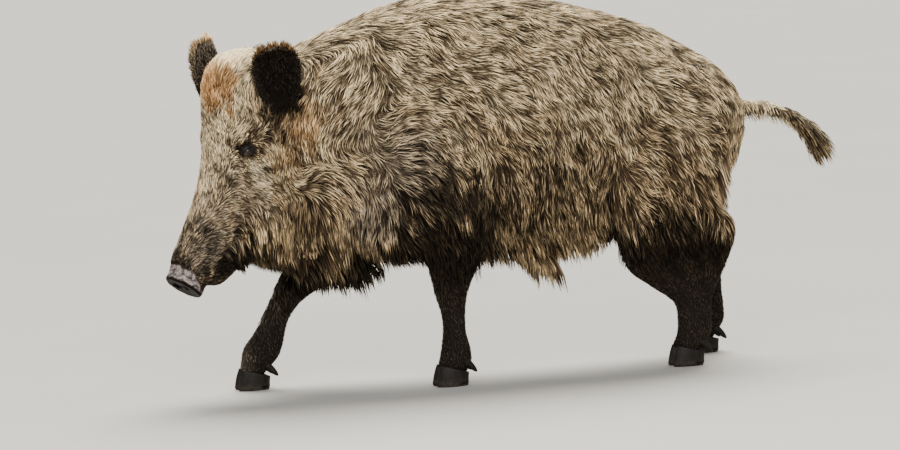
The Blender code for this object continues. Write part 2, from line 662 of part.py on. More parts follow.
def snout_disc(mats):
    """The flat end of the nose, flared at its rim, with two open nostrils."""
    turns = 20
    rings = ((0.0003, 0.0355), (0.0045, 0.0370), (0.0100, DISC_RADIUS), (0.0140, DISC_RADIUS - 0.0008),
             (DISC_LENGTH, DISC_RADIUS - 0.004))
    pts = []
    for along, radius in rings:
        for i in range(turns):
            a = 2 * math.pi * i / turns
            flat = 0.94 if math.sin(a) < 0 else 0.98
            pts.append((HEAD_END + along, radius * math.cos(a), radius * math.sin(a) * flat - 0.001))
    faces = [list(range(turns)), list(range(4 * turns, 5 * turns))]
    for r in range(4):
        for i in range(turns):
            j = (i + 1) % turns
            faces.append([r * turns + i, r * turns + j, (r + 1) * turns + j, (r + 1) * turns + i])
    disc = new_object("snout_disc", from_head(tip_back(pts)), faces, mats["snout"])
    side, height, radius, depth = NOSTRIL
    for sign in (1, -1):
        ring = []
        for along, r in ((HEAD_END + DISC_LENGTH - depth, radius * 0.8), (HEAD_END + DISC_LENGTH + 0.01, radius)):
            for i in range(8):
                a = 2 * math.pi * i / 8
                ring.append((along, sign * side + r * math.cos(a), height + 1.25 * r * math.sin(a)))
        sides = [[i, (i + 1) % 8, (i + 1) % 8 + 8, i + 8] for i in range(8)]
        bore = new_object("bore", from_head(tip_back(ring)), [list(range(8)), list(range(8, 16))] + sides, mats["snout"])
        boolean(disc, bore, "DIFFERENCE")
        drop(bore)
    return disc


def surface_point(p, outward):
    """Where a line through p along outward leaves the body."""
    p, outward = np.array(p, float), np.array(outward, float)
    lo, hi = -0.03, 0.05
    for _ in range(40):
        mid = (lo + hi) / 2
        if body_distance((p + outward * mid)[None])[0] < 0:
            lo = mid
        else:
            hi = mid
    return p + outward * lo


def eye(name, side, cranium, mats):
    """A ball in an open socket."""
    outward = np.array((0.05, side * 0.93, 0.36)) @ HEAD_AXES
    outward /= np.linalg.norm(outward)
    spot = surface_point(from_head((EYE[0], side * EYE[1], EYE[2])), outward)
    centre = spot + outward * (EYE_PROUD - EYE_RADIUS)
    socket = sphere("socket", centre, EYE_RADIUS + GAP, mats["eye"])
    boolean(cranium, socket, "DIFFERENCE")
    drop(socket)
    return sphere(name, centre, EYE_RADIUS, mats["eye"])


def sphere(name, centre, radius, material):
    """A ball of rings."""
    turns, steps = 12, 6
    pts = [(0, 0, radius)]
    for j in range(1, steps):
        b = math.pi * j / steps
        for i in range(turns):
            a = 2 * math.pi * i / turns
            pts.append((radius * math.sin(b) * math.cos(a), radius * math.sin(b) * math.sin(a), radius * math.cos(b)))
    pts.append((0, 0, -radius))
    last = len(pts) - 1
    faces = [[0, 1 + i, 1 + (i + 1) % turns] for i in range(turns)]
    for j in range(steps - 2):
        for i in range(turns):
            a, b = 1 + j * turns + i, 1 + j * turns + (i + 1) % turns
            faces.append([a, a + turns, b + turns, b])
    faces += [[last, last - turns + (i + 1) % turns, last - turns + i] for i in range(turns)]
    return new_object(name, np.array(pts) + np.array(centre), faces, material)


def ear(name, side, skull, mats):
    """A broad cupped leaf, thick at its root, parted from the head by the gap."""
    root, axis, face = (np.array(row) for row in EARS[side])
    axis /= np.linalg.norm(axis)
    face -= axis * (face @ axis)
    face /= np.linalg.norm(face)
    across = np.cross(axis, face)
    rows, cols = len(EAR_HALF_WIDTHS), 9
    sheets = []
    for back in (0, 1):
        sheet = []
        for j, width in enumerate(EAR_HALF_WIDTHS):
            v = j / (rows - 1)
            rise = EAR_LENGTH * math.sin(v * math.pi / 2 * 0.98) / math.sin(math.pi / 2 * 0.98)
            cup = EAR_CUP[0] + (EAR_CUP[1] - EAR_CUP[0]) * v
            thick = EAR_THICK[0] + (EAR_THICK[1] - EAR_THICK[0]) * v
            for i in range(cols):
                u = 2 * i / (cols - 1) - 1
                deep = -cup * (1 - u * u) * (width / max(EAR_HALF_WIDTHS)) ** 0.5
                deep -= back * thick * (1 - 0.6 * u * u)
                sheet.append(root + axis * rise + across * (width * u) + face * deep)
        sheets.append(sheet)
    pts = sheets[0] + sheets[1]
    n = rows * cols
    faces = []
    for j in range(rows - 1):
        for i in range(cols - 1):
            a = j * cols + i
            faces.append([a, a + 1, a + cols + 1, a + cols])
            faces.append([n + a, n + a + cols, n + a + cols + 1, n + a + 1])
    edge = [i for i in range(cols)] + [j * cols + cols - 1 for j in range(1, rows)]
    edge += [(rows - 1) * cols + i for i in range(cols - 2, -1, -1)] + [j * cols for j in range(rows - 2, 0, -1)]
    for a, b in zip(edge, edge[1:] + edge[:1]):
        faces.append([a, b, b + n, a + n])
    made = new_object(name, from_head(pts), faces, mats["ear"])
    keep_off = grown(skull, GAP)
    boolean(made, keep_off, "DIFFERENCE")
    drop(keep_off)
    return made


def keep_largest(obj):
    """Leave only the biggest loose piece of an object."""
    bm = bmesh.new()
    bm.from_mesh(obj.data)
    left = set(bm.verts)
    groups = []
    while left:
        todo = [left.pop()]
        group = set(todo)
        while todo:
            vert = todo.pop()
            for e in vert.link_edges:
                other = e.other_vert(vert)
                if other in left:
                    left.discard(other)
                    group.add(other)
                    todo.append(other)
        groups.append(group)
    groups.sort(key=len)
    spare = [v for g in groups[:-1] for v in g]
    bmesh.ops.delete(bm, geom=spare, context="VERTS")
    bm.to_mesh(obj.data)
    bm.free()


def centre_all():
    """Stand everything on the floor with the middle of its outline on the origin."""
    low, high = np.full(3, 1e9), np.full(3, -1e9)
    for obj in bpy.data.objects:
        co = np.array([v.co for v in obj.data.vertices])
        low, high = np.minimum(low, co.min(0)), np.maximum(high, co.max(0))
    move = np.array((-(low[0] + high[0]) / 2, -(low[1] + high[1]) / 2, -low[2]))
    for obj in bpy.data.objects:
        for v in obj.data.vertices:
            v.co += Vector(move)
        obj.data.update()
    print("moved by", move.round(5), "size", (high - low).round(4))


def main():
    """Build the boar."""
    clear_scene()
    mats = make_materials()
    body = build_body(mats)
    feet = part_legs(body, mats)
    build_feet(feet, mats)
    head, brush = part_trunk(body, mats)
    cranium, muzzle = part_head(head, mats)
    snout_disc(mats)
    for side, word in ((1, "left"), (-1, "right")):
        ear(word + "_ear", side, cranium, mats)
    for side, word in ((1, "left"), (-1, "right")):
        eye(word + "_eye", side, cranium, mats)
    for obj in bpy.data.objects:
        keep_largest(obj)
    centre_all()


main()
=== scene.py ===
"""A wild boar in its winter coat, finished over its solid frame.

Everything is worked out in the animal's own terms: s forward, t to its left, z up from
the floor, in metres; the head has terms of its own: along the muzzle, to the left and
out of the forehead.  One skin is taken from a distance function that lies inside the
frame by the depth of the coat.  Tufts of hair then grow from that skin as closed, thin,
pointed solids that follow the lie of the coat.
"""

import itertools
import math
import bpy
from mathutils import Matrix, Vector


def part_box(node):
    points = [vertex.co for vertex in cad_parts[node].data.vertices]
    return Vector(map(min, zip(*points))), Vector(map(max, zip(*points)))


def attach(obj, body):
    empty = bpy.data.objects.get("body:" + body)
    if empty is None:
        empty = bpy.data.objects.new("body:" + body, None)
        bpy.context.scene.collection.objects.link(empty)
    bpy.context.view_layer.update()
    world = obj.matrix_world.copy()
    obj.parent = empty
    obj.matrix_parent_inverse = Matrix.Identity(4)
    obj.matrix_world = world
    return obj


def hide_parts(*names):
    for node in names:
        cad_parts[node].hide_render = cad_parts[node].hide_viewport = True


bl_info = {
    "name": "Wild Boar Coat",
    "version": (1, 0, 0),
    "blender": (4, 5, 0),
    "location": "View3D > Sidebar > Boar",
    "description": "Skin, horn, eyes and a coat of solid tufts for a life-size wild boar",
    "category": "Add Mesh",
}

import bmesh
import bpy
import numpy as np
from bpy.props import FloatProperty, FloatVectorProperty, IntProperty, PointerProperty
from mathutils import Matrix, Vector, kdtree

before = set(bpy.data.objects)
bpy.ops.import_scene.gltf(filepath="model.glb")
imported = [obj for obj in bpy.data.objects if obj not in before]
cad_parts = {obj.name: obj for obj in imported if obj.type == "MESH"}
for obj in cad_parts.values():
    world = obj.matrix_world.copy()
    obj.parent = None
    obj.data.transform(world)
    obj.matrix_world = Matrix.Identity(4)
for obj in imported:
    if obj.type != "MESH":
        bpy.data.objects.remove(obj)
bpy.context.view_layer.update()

# ------------------------------------------------------------------ the animal's shape
# Sections along the body: s, bottom, top, level of the widest line, middle, half width.
TRUNK = (
    (-0.553, 0.440, 0.500, 0.470, 0.000, 0.030),
    (-0.544, 0.405, 0.530, 0.460, 0.000, 0.065),
    (-0.525, 0.370, 0.560, 0.450, 0.000, 0.093),
    (-0.490, 0.340, 0.594, 0.450, 0.000, 0.120),
    (-0.440, 0.310, 0.625, 0.450, 0.000, 0.139),
    (-0.390, 0.285, 0.655, 0.440, 0.000, 0.151),
    (-0.330, 0.262, 0.681, 0.440, 0.000, 0.159),
    (-0.250, 0.240, 0.706, 0.440, 0.000, 0.167),
    (-0.170, 0.226, 0.726, 0.440, 0.000, 0.173),
    (-0.080, 0.220, 0.742, 0.440, 0.000, 0.176),
    (0.020, 0.222, 0.749, 0.440, 0.000, 0.176),
    (0.100, 0.230, 0.746, 0.450, 0.000, 0.174),
    (0.180, 0.235, 0.729, 0.455, 0.000, 0.168),
    (0.250, 0.245, 0.705, 0.460, 0.003, 0.157),
    (0.300, 0.270, 0.686, 0.465, 0.006, 0.145),
    (0.340, 0.305, 0.668, 0.475, 0.010, 0.130),
    (0.380, 0.350, 0.655, 0.490, 0.015, 0.112),
    (0.420, 0.400, 0.640, 0.510, 0.022, 0.095),
    (0.450, 0.450, 0.600, 0.530, 0.028, 0.070),
)
# Sections up each leg: z, back, front, middle, distance from the midline, half width.
LEFT_FORE = (
    (0.400, 0.000, 0.200, 0.100, 0.115, 0.060),
    (0.330, -0.020, 0.175, 0.075, 0.120, 0.058),
    (0.285, -0.012, 0.155, 0.070, 0.120, 0.052),
    (0.255, 0.008, 0.135, 0.070, 0.118, 0.046),
    (0.232, 0.022, 0.124, 0.073, 0.115, 0.041),
    (0.197, 0.036, 0.117, 0.077, 0.113, 0.034),
    (0.170, 0.046, 0.112, 0.079, 0.112, 0.0315),
    (0.150, 0.049, 0.106, 0.078, 0.112, 0.0290),
    (0.128, 0.0505, 0.1025, 0.0765, 0.112, 0.0265),
    (0.100, 0.050, 0.1025, 0.076, 0.112, 0.0260),
    (0.072, 0.044, 0.107, 0.0755, 0.112, 0.0290),
    (0.050, 0.042, 0.112, 0.078, 0.112, 0.0310),
    (0.030, 0.050, 0.120, 0.085, 0.112, 0.0290),
    (0.010, 0.060, 0.130, 0.095, 0.112, 0.0280),
)
RIGHT_FORE = (
    (0.360, 0.130, 0.290, 0.210, 0.105, 0.060),
    (0.300, 0.165, 0.315, 0.240, 0.110, 0.056),
    (0.250, 0.205, 0.335, 0.270, 0.105, 0.048),
    (0.212, 0.245, 0.361, 0.303, 0.100, 0.040),
    (0.184, 0.285, 0.377, 0.331, 0.097, 0.034),
    (0.160, 0.325, 0.390, 0.358, 0.095, 0.0300),
    (0.147, 0.338, 0.398, 0.368, 0.094, 0.0290),
    (0.124, 0.351, 0.412, 0.3815, 0.093, 0.0275),
    (0.100, 0.357, 0.430, 0.3935, 0.092, 0.0285),
    (0.080, 0.363, 0.446, 0.4045, 0.091, 0.0305),
    (0.060, 0.372, 0.452, 0.412, 0.090, 0.0310),
    (0.030, 0.400, 0.459, 0.430, 0.090, 0.0290),
    (0.010, 0.410, 0.465, 0.440, 0.090, 0.0280),
)
LEFT_HIND = (
    (0.570, -0.490, -0.360, -0.430, 0.062, 0.052),
    (0.520, -0.515, -0.310, -0.420, 0.080, 0.074),
    (0.460, -0.518, -0.270, -0.400, 0.088, 0.082),
    (0.400, -0.508, -0.240, -0.385, 0.093, 0.082),
    (0.350, -0.496, -0.225, -0.375, 0.097, 0.075),
    (0.315, -0.487, -0.226, -0.370, 0.100, 0.066),
    (0.295, -0.490, -0.230, -0.380, 0.100, 0.060),
    (0.272, -0.508, -0.240, -0.400, 0.100, 0.053),
    (0.250, -0.508, -0.250, -0.405, 0.100, 0.046),
    (0.220, -0.497, -0.258, -0.400, 0.100, 0.040),
    (0.188, -0.479, -0.278, -0.400, 0.100, 0.034),
    (0.155, -0.460, -0.322, -0.400, 0.100, 0.0300),
    (0.125, -0.448, -0.362, -0.405, 0.100, 0.0275),
    (0.090, -0.444, -0.370, -0.407, 0.100, 0.0290),
    (0.060, -0.442, -0.367, -0.404, 0.100, 0.0310),
    (0.030, -0.420, -0.352, -0.385, 0.100, 0.0290),
    (0.010, -0.410, -0.345, -0.378, 0.100, 0.0280),
)
RIGHT_HIND = (
    (0.570, -0.490, -0.360, -0.430, 0.062, 0.052),
    (0.520, -0.518, -0.310, -0.420, 0.080, 0.074),
    (0.460, -0.522, -0.270, -0.400, 0.088, 0.082),
    (0.400, -0.520, -0.250, -0.390, 0.093, 0.080),
    (0.350, -0.518, -0.250, -0.390, 0.097, 0.072),
    (0.315, -0.520, -0.265, -0.400, 0.100, 0.063),
    (0.295, -0.530, -0.280, -0.420, 0.100, 0.057),
    (0.272, -0.548, -0.300, -0.440, 0.100, 0.050),
    (0.250, -0.550, -0.330, -0.455, 0.100, 0.044),
    (0.220, -0.546, -0.375, -0.470, 0.100, 0.038),
    (0.188, -0.541, -0.420, -0.487, 0.100, 0.032),
    (0.150, -0.536, -0.460, -0.500, 0.100, 0.0285),
    (0.120, -0.536, -0.476, -0.506, 0.100, 0.0270),
    (0.090, -0.538, -0.472, -0.505, 0.100, 0.0290),
    (0.060, -0.536, -0.464, -0.500, 0.100, 0.0310),
    (0.030, -0.515, -0.452, -0.483, 0.100, 0.0290),
    (0.010, -0.505, -0.445, -0.475, 0.100, 0.0280),
)
# Sections along the head: distance from the ear line, underside, top, widest, 0, half width.
HEAD = (
    (-0.085, -0.030, 0.035, 0.000, 0, 0.040),
    (-0.070, -0.080, 0.064, -0.020, 0, 0.064),
    (-0.040, -0.140, 0.087, -0.040, 0, 0.081),
    (0.000, -0.170, 0.091, -0.050, 0, 0.088),
    (0.030, -0.180, 0.081, -0.055, 0, 0.093),
    (0.070, -0.190, 0.059, -0.060, 0, 0.095),
    (0.100, -0.190, 0.044, -0.060, 0, 0.088),
    (0.140, -0.180, 0.034, -0.060, 0, 0.079),
    (0.173, -0.165, 0.030, -0.055, 0, 0.069),
    (0.219, -0.140, 0.031, -0.045, 0, 0.057),
    (0.265, -0.120, 0.034, -0.035, 0, 0.049),
    (0.300, -0.105, 0.038, -0.030, 0, 0.0455),
    (0.325, -0.088, 0.040, -0.022, 0, 0.042),
    (0.345, -0.060, 0.036, -0.012, 0, 0.038),
    (0.362, -0.042, 0.033, -0.002, 0, 0.0355),
    (0.376, -0.037, 0.034, 0.000, 0, 0.036),
)
# Along the tail's flesh: s, z, radius.
TAIL = (
    (-0.530, 0.487, 0.0150),
    (-0.600, 0.482, 0.0105),
    (-0.650, 0.466, 0.0085),
    (-0.685, 0.442, 0.0070),
    (-0.705, 0.418, 0.0050),
)
LEGS = ((LEFT_FORE, 1), (RIGHT_FORE, -1), (LEFT_HIND, 1), (RIGHT_HIND, -1))
FOOT = {
    "left_fore": (0.089, 0.112),
    "right_fore": (0.430, -0.090),
    "left_hind": (-0.386, 0.100),
    "right_hind": (-0.484, -0.100),
}
HOOF_LENGTH = 0.062
HOOF_WIDTH = 0.0285                 # one of the two claws
CLEFT = 0.0016                      # half the gap between the claws
CORONET_FRONT = 0.044               # height of the hoof's upper rim at its toe
CORONET_BACK = 0.026

HEAD_ORIGIN = np.array((0.4405, 0.030, 0.5664))
HEAD_PITCH = math.radians(67.0)
HEAD_YAW = math.radians(11.3)
HEAD_ROLL = math.radians(19.3)
DISC_START = 0.371
DISC_LENGTH = 0.0155
DISC_TILT = math.radians(13.0)      # how far the disc's face looks up
DISC_HINGE = (0.3865, -0.036)       # the low edge of its face, along and above

# Left and right ear: root, way to the tip and way the cup faces, in head terms.
EARS = {1: ((0.006, 0.107, -0.008), (-0.81, -0.04, 0.58), (0.38, 0.75, 0.53)),
        -1: ((0.0152, -0.1057, -0.0117), (-0.795, 0.025, 0.606), (0.153, -0.959, 0.240))}
EAR_LENGTH = 0.128
EAR_TRIM = 0.91                     # the ear's skin as a share of its outline with its hair
EAR_HALF_WIDTHS = (0.026, 0.037, 0.0445, 0.0475, 0.046, 0.038, 0.024, 0.006)  # from root to tip
EAR_CUP = (0.028, 0.012)            # depth of the cup at the root and at the tip
EAR_THICK = (0.011, 0.0045)         # thickness at the root and at the tip
EAR_INSET = 0.0018                  # how far the cup lies behind the rim

EYE_RADIUS = 0.012
EYE_BOWL = (0.099, 0.078, 0.013, 0.019)  # along, across, above and radius of the hollow round an eye
EYE_OUTWARD = (0.05, 0.93, 0.36)
EYE_SLIT = (-0.84, 0.24, -0.50)     # from the inner corner to the outer one
LID = 0.0017                        # thickness of a lid over the eyeball
SLIT_HALF = 0.0122                  # half the length of the opening between the lids
OPEN_UP = 0.0036                    # how far the lids open above the line between the corners
OPEN_DOWN = 0.0044

GRID = 0.0070                       # step of the grid the skin is taken on
SKIN_LOW = (-0.76, -0.215, -0.02)   # corners of the box that holds the skin
SKIN_HIGH = (0.68, 0.225, 0.775)
REACH = 0.06                        # how far round a part its distance is worked out
SUNK = 0.0015                       # how deep a tuft is rooted
USUAL_SPACING = 0.0045              # between tufts on the trunk
EAR_HAIRS = {"back": 1900, "rim": 1300, "cup": 1000}  # on each ear
TAIL_HAIRS = 1900
TASSEL_HAIRS = 1000


def head_frame():
    """Rows: along the muzzle, to the left, out of the forehead, from pitch, yaw and roll."""
    cp, sp = math.cos(HEAD_PITCH), math.sin(HEAD_PITCH)
    cy, sy = math.cos(HEAD_YAW), math.sin(HEAD_YAW)
    along = np.array((cp * cy, cp * sy, -sp))
    flat = np.array((-sy, cy, 0.0))
    up = np.cross(along, flat)
    left = math.cos(HEAD_ROLL) * flat - math.sin(HEAD_ROLL) * up
    return np.stack((along, left, np.cross(along, left)))


HEAD_AXES = head_frame()


def find_shift():
    """How far the frame moved the animal: the middle of the left forefoot's box less its place."""
    boxes = [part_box("left_fore_hoof_inner"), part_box("left_fore_hoof_outer")]
    low = np.min([b[0] for b in boxes], 0)
    high = np.max([b[1] for b in boxes], 0)
    middle = (low + high) / 2
    s, t = FOOT["left_fore"]
    return np.array((middle[0] - t, middle[1] + s, 0.0))


SHIFT = find_shift()


def to_world(p):
    """Animal terms to the scene's axes: nose to -Y, left to +X, then the frame's shift."""
    return np.stack((p[..., 1], -p[..., 0], p[..., 2]), -1) + SHIFT


def to_animal(p):
    """The scene's axes back to animal terms."""
    p = np.asarray(p, float) - SHIFT
    return np.stack((-p[..., 1], p[..., 0], p[..., 2]), -1)


def to_head(p):
    """Animal terms to head terms."""
    return (p - HEAD_ORIGIN) @ HEAD_AXES.T


def from_head(q):
    """Head terms to animal terms."""
    return np.asarray(q, float) @ HEAD_AXES + HEAD_ORIGIN


def lengths(v):
    """The length of each row."""
    return np.linalg.norm(v, axis=1)


def unit(v):
    """Vectors of length one."""
    return v / np.maximum(np.linalg.norm(v, axis=-1, keepdims=True), 1e-9)


def ramp(x, a, b):
    """0 at a, 1 at b, with an even S between; a may be the larger."""
    u = np.clip((x - a) / (b - a), 0, 1)
    return u * u * (3 - 2 * u)


def bell(x, middle, width):
    """A bell curve of height 1."""
    return np.exp(-((x - middle) / width) ** 2)


def blend(a, b, k):
    """Smooth union of two distances over the width k."""
    h = np.clip(0.5 + 0.5 * (b - a) / k, 0, 1)
    return b + (a - b) * h - k * h * (1 - h)


def carve(a, b, k):
    """Take the shape b out of a, its edge rounded over the width k."""
    return -blend(-a, b, k)


def through(x, xs, ys):
    """A smooth cubic curve through the stations, held at its ends."""
    xs, ys = np.asarray(xs, float), np.asarray(ys, float)
    slope = np.gradient(ys, xs)
    x = np.clip(x, xs[0], xs[-1])
    i = np.clip(np.searchsorted(xs, x, side="right") - 1, 0, len(xs) - 2)
    step = xs[i + 1] - xs[i]
    u = (x - xs[i]) / step
    a = (2 * u**3 - 3 * u**2 + 1) * ys[i] + (u**3 - 2 * u**2 + u) * step * slope[i]
    b = (3 * u**2 - 2 * u**3) * ys[i + 1] + (u**3 - u**2) * step * slope[i + 1]
    return a + b


def sections(table, at):
    """Each level held to the table's ends, and the table's other columns read there."""
    rows = np.array(sorted(table))
    level = np.clip(at, rows[0, 0], rows[-1, 0])
    return level, [through(level, rows[:, 0], rows[:, k]) for k in range(1, rows.shape[1])]


def stack(p, axis, table, side=1.0, power=2.05):
    """Distance to oval sections stacked along s (axis 0) or z (axis 2)."""
    other = 2 if axis == 0 else 0
    level, (lo, hi, mid, off, half) = sections(table, p[:, axis])
    v = p[:, other] - mid
    v = np.where(v > 0, v / np.maximum(hi - mid, 1e-4), v / np.minimum(lo - mid, -1e-4))
    across = p[:, 1] - side * off
    u = np.abs(across) / np.maximum(half, 1e-4)
    f = np.maximum((u**power + v**power) ** (1 / power), 1e-3)
    r = np.hypot(across, p[:, other] - mid)
    d = np.where(f < 2e-3, -half, r - r / f)
    over = np.abs(p[:, axis] - level)
    return np.where(over > 0, np.hypot(np.maximum(d, 0), over), d)


def cone(p, a, b, ra, rb):
    """Distance to a round-ended cone."""
    a, b = np.array(a, float), np.array(b, float)
    q, ab = p - a, b - a
    h = np.clip(q @ ab / (ab @ ab), 0, 1)
    return lengths(q - h[:, None] * ab) - (ra + (rb - ra) * h)


def ball(p, centre, radii):
    """Distance to an egg with three radii."""
    q = (p - np.array(centre)) / np.array(radii)
    k = lengths(q)
    g = lengths(q / np.array(radii))
    return k * (k - 1) / np.maximum(g, 1e-6)


def eye_frames():
    """Centre, slit direction, upward direction and outward direction of both eyes."""
    frames = []
    for side, name in ((1, "left_eye"), (-1, "right_eye")):
        low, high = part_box(name)
        centre = to_animal((np.array(low) + np.array(high)) / 2)
        mirror = np.array((1, side, 1))
        out = unit((np.array(EYE_OUTWARD) * mirror) @ HEAD_AXES)
        slit = (np.array(EYE_SLIT) * mirror) @ HEAD_AXES
        slit = unit(slit - out * (slit @ out))
        up = np.cross(out, slit) * -side
        if up @ HEAD_AXES[2] < 0:
            up = -up
        frames.append((centre, slit, up, out))
    return frames


EYES = eye_frames()


def eye_gap(p):
    """How far each point is from the middle of the nearer eye."""
    return np.min([lengths(p - centre) for centre, *_ in EYES], 0)


def coronet_height(ahead):
    """Height of a hoof's upper rim, at a distance ahead of the hoof's middle."""
    return (CORONET_FRONT + CORONET_BACK) / 2 + (CORONET_FRONT - CORONET_BACK) / HOOF_LENGTH * ahead


# ------------------------------------------------------------------ the skin's distance
def trunk_skin(p):
    """The trunk less its coat: 17 mm on the sides, more on the neck and under the belly."""
    hair = 0.016 + 0.005 * ramp(p[:, 0], 0.05, 0.25) + 0.026 * ramp(p[:, 2], 0.33, 0.24)
    d = stack(p, 0, TRUNK) + hair
    d = blend(d, ball(p, (0.29, 0, 0.285), (0.10, 0.060, 0.050)), 0.03)
    for centre in ((0.16, 0.095, 0.42), (0.20, -0.095, 0.42)):
        d = blend(d, ball(p, centre, (0.115, 0.071, 0.172)), 0.04)
    return d


def leg_skin(p, table, side):
    """One leg less its coat, with the bones and sinews of its lower half."""
    z = p[:, 2]
    hair = 0.0045 + 0.011 * ramp(z, 0.22, 0.38)
    if table in (LEFT_HIND, RIGHT_HIND):
        hair = hair + 0.010 * ramp(z, 0.17, 0.25) * ramp(z, 0.50, 0.38)
    d = stack(p, 2, table, side) + hair
    _, (back, front, _, off, _) = sections(table, z)
    share = (p[:, 0] - back) / (front - back)
    groove = bell(share, 0.36, 0.10) * ramp(z, 0.20, 0.16) * ramp(z, 0.055, 0.085)
    toes = bell(p[:, 1] - side * off, 0, 0.0035) * ramp(z, 0.070, 0.045) * ramp(share, 0.55, 0.80)
    return d + 0.0022 * groove + 0.0060 * toes


def tip_forward(q):
    """Places in head terms turned about the low edge of the disc, so that its face looks along x."""
    x, w = q[:, 0] - DISC_HINGE[0], q[:, 2] - DISC_HINGE[1]
    c, s = math.cos(DISC_TILT), math.sin(DISC_TILT)
    return np.stack((DISC_HINGE[0] + x * c + w * s, q[:, 1], DISC_HINGE[1] - x * s + w * c), -1)


def disc_skin(q):
    """The snout disc: a flared drum with a rounded rim, a dished face and two nostrils."""
    x = q[:, 0]
    r = np.hypot(q[:, 1], (q[:, 2] + 0.001) * np.where(q[:, 2] < 0, 1.05, 1.01))
    stations = DISC_START + np.array((-0.008, 0.0, 0.0045, 0.0100, DISC_LENGTH))
    radius = through(x, stations, (0.0335, 0.0350, 0.0365, 0.0380, 0.0378))
    radius = radius + 0.0005 * np.sin(9 * np.arctan2(q[:, 2], q[:, 1]))
    dish = 0.0022 * np.clip(1 - (r / 0.031) ** 2, 0, 1)
    front = x - (DISC_START + DISC_LENGTH - 0.0004) + dish
    d = -blend(-(r - radius), -front, 0.006)
    d = np.maximum(d, DISC_START - 0.014 - x)
    for side in (1, -1):
        rim = ball(q, (DISC_START + DISC_LENGTH - 0.0022, side * 0.0150, 0.0035), (0.0032, 0.0105, 0.0120))
        d = blend(d, rim, 0.003)
    for side in (1, -1):
        a = (DISC_START + DISC_LENGTH + 0.006, side * 0.0155, 0.0030)
        b = (DISC_START - 0.006, side * 0.0105, 0.0065)
        squeezed = (q - np.array((0, 0, a[2]))) * (1, 1, 0.80) + np.array((0, 0, a[2]))
        d = carve(d, cone(squeezed, a, b, 0.0066, 0.0040), 0.0022)
    return d


def mouth_gap(x, w):
    """How far a place lies above the line of the mouth, in head terms."""
    return w + 0.060 - 0.75 * (x - 0.32)


def head_skin(p):
    """The head less its coat: skull, jaw, cheeks, lips, snout and its folds."""
    q = to_head(p)
    x, y, w = q.T
    hair = 0.0040 + 0.0045 * ramp(x, 0.28, 0.10) - 0.0032 * ramp(x, 0.30, 0.345)
    hair = hair * (1 - 0.75 * bell(eye_gap(p), 0, 0.030))
    hair = hair + 0.030 * ramp(w, -0.095, -0.170) * ramp(x, 0.30, 0.20)
    d = stack(q, 0, HEAD) + hair
    for side in (1, -1):
        jaw = cone(q, (0.15, side * 0.042, -0.115), (0.326, side * 0.006, -0.061), 0.040, 0.0215)
        d = blend(d, jaw, 0.02)
        d = blend(d, ball(q, (0.10, side * 0.064, -0.115), (0.115, 0.056, 0.080)), 0.03)
        root = cone(q, (0.02, side * 0.050, -0.03), (0.000, side * 0.072, -0.020), 0.027, 0.018)
        d = blend(d, root, 0.015)
    d = blend(d, ball(q, (0.175, 0, -0.165), (0.095, 0.072, 0.070)), 0.04)
    for side in (1, -1):
        bowl = np.array((EYE_BOWL[0], side * EYE_BOWL[1], EYE_BOWL[2]))
        d = carve(d, lengths(q - bowl) - EYE_BOWL[3], 0.012)
    mouth = mouth_gap(x, w)
    reach = ramp(x, 0.255, 0.285) * ramp(x, 0.372, 0.350)
    d = d + 0.0042 * bell(mouth, 0, 0.0024) * reach - 0.0016 * bell(mouth, 0.008, 0.006) * reach
    turn = np.hypot(x - 0.352, w + 0.012)
    fold = np.sin(2 * math.pi * turn / 0.0075) * bell(turn, 0.030, 0.014) * ramp(w, 0.012, -0.004)
    d = d + 0.0008 * fold * ramp(x, 0.300, 0.320)
    wave = np.sin(2 * math.pi * x / 0.0078 + 2.2 * np.sin(70 * y) + 1.3 * np.sin(140 * w))
    d = d + 0.0008 * wave * ramp(x, 0.318, 0.334) * ramp(x, 0.374, 0.368) * ramp(w, -0.005, 0.012)
    bridge = 0.0016 * bell(y, 0, 0.006) * ramp(w, 0.0, 0.02) * ramp(x, 0.19, 0.23) * ramp(x, 0.37, 0.35)
    turned = tip_forward(q)
    d = np.maximum(d + bridge, turned[:, 0] - DISC_START - 0.006)
    return blend(d, disc_skin(turned), 0.005)


def with_lids(p, d):
    """A shell over each eyeball, its brow, and the almond opening between the lids."""
    for centre, slit, up, out in EYES:
        v = p - centre
        r = lengths(v)
        near = np.nonzero(r < 0.05)[0]
        if not len(near):
            continue
        v, r, e = v[near], r[near], d[near]
        x, y, z = v @ slit, v @ up, v @ out
        e = blend(e, ball(p[near], centre + up * 0.0170 - out * 0.0040, (0.013,) * 3), 0.012)
        e = blend(e, r - (EYE_RADIUS + LID), 0.006)
        fold = bell(r, EYE_RADIUS + 0.0062, 0.0013) * ramp(z, 0.0, 0.006)
        lower = bell(r, EYE_RADIUS + 0.0115, 0.0018) * ramp(y, 0.0, -0.006)
        tear = bell(y + 0.9 * (-x - SLIT_HALF), -0.0005, 0.0014)
        tear = tear * ramp(x, -0.009, -0.013) * ramp(x, -0.024, -0.017)
        e = e + 0.0010 * fold + 0.0009 * lower + 0.0018 * tear
        arch = np.clip(1 - (x / SLIT_HALF) ** 2, 0, 1)
        edge = np.where(y > 0, y - OPEN_UP * arch, -y - OPEN_DOWN * arch)
        edge = np.where(np.abs(x) > SLIT_HALF, np.hypot(np.abs(x) - SLIT_HALF, y), edge)
        cut = np.maximum(np.maximum(edge, EYE_RADIUS - 0.0015 - r), 0.002 - z)
        d[near] = carve(e, cut, 0.0008)
    return d


def only_near(p, low, high, distance):
    """A distance worked out inside a box and 1 outside it, where it can't matter."""
    d = np.ones(len(p))
    inside = ((p > np.array(low) - REACH) & (p < np.array(high) + REACH)).all(1)
    d[inside] = distance(p[inside])
    return d


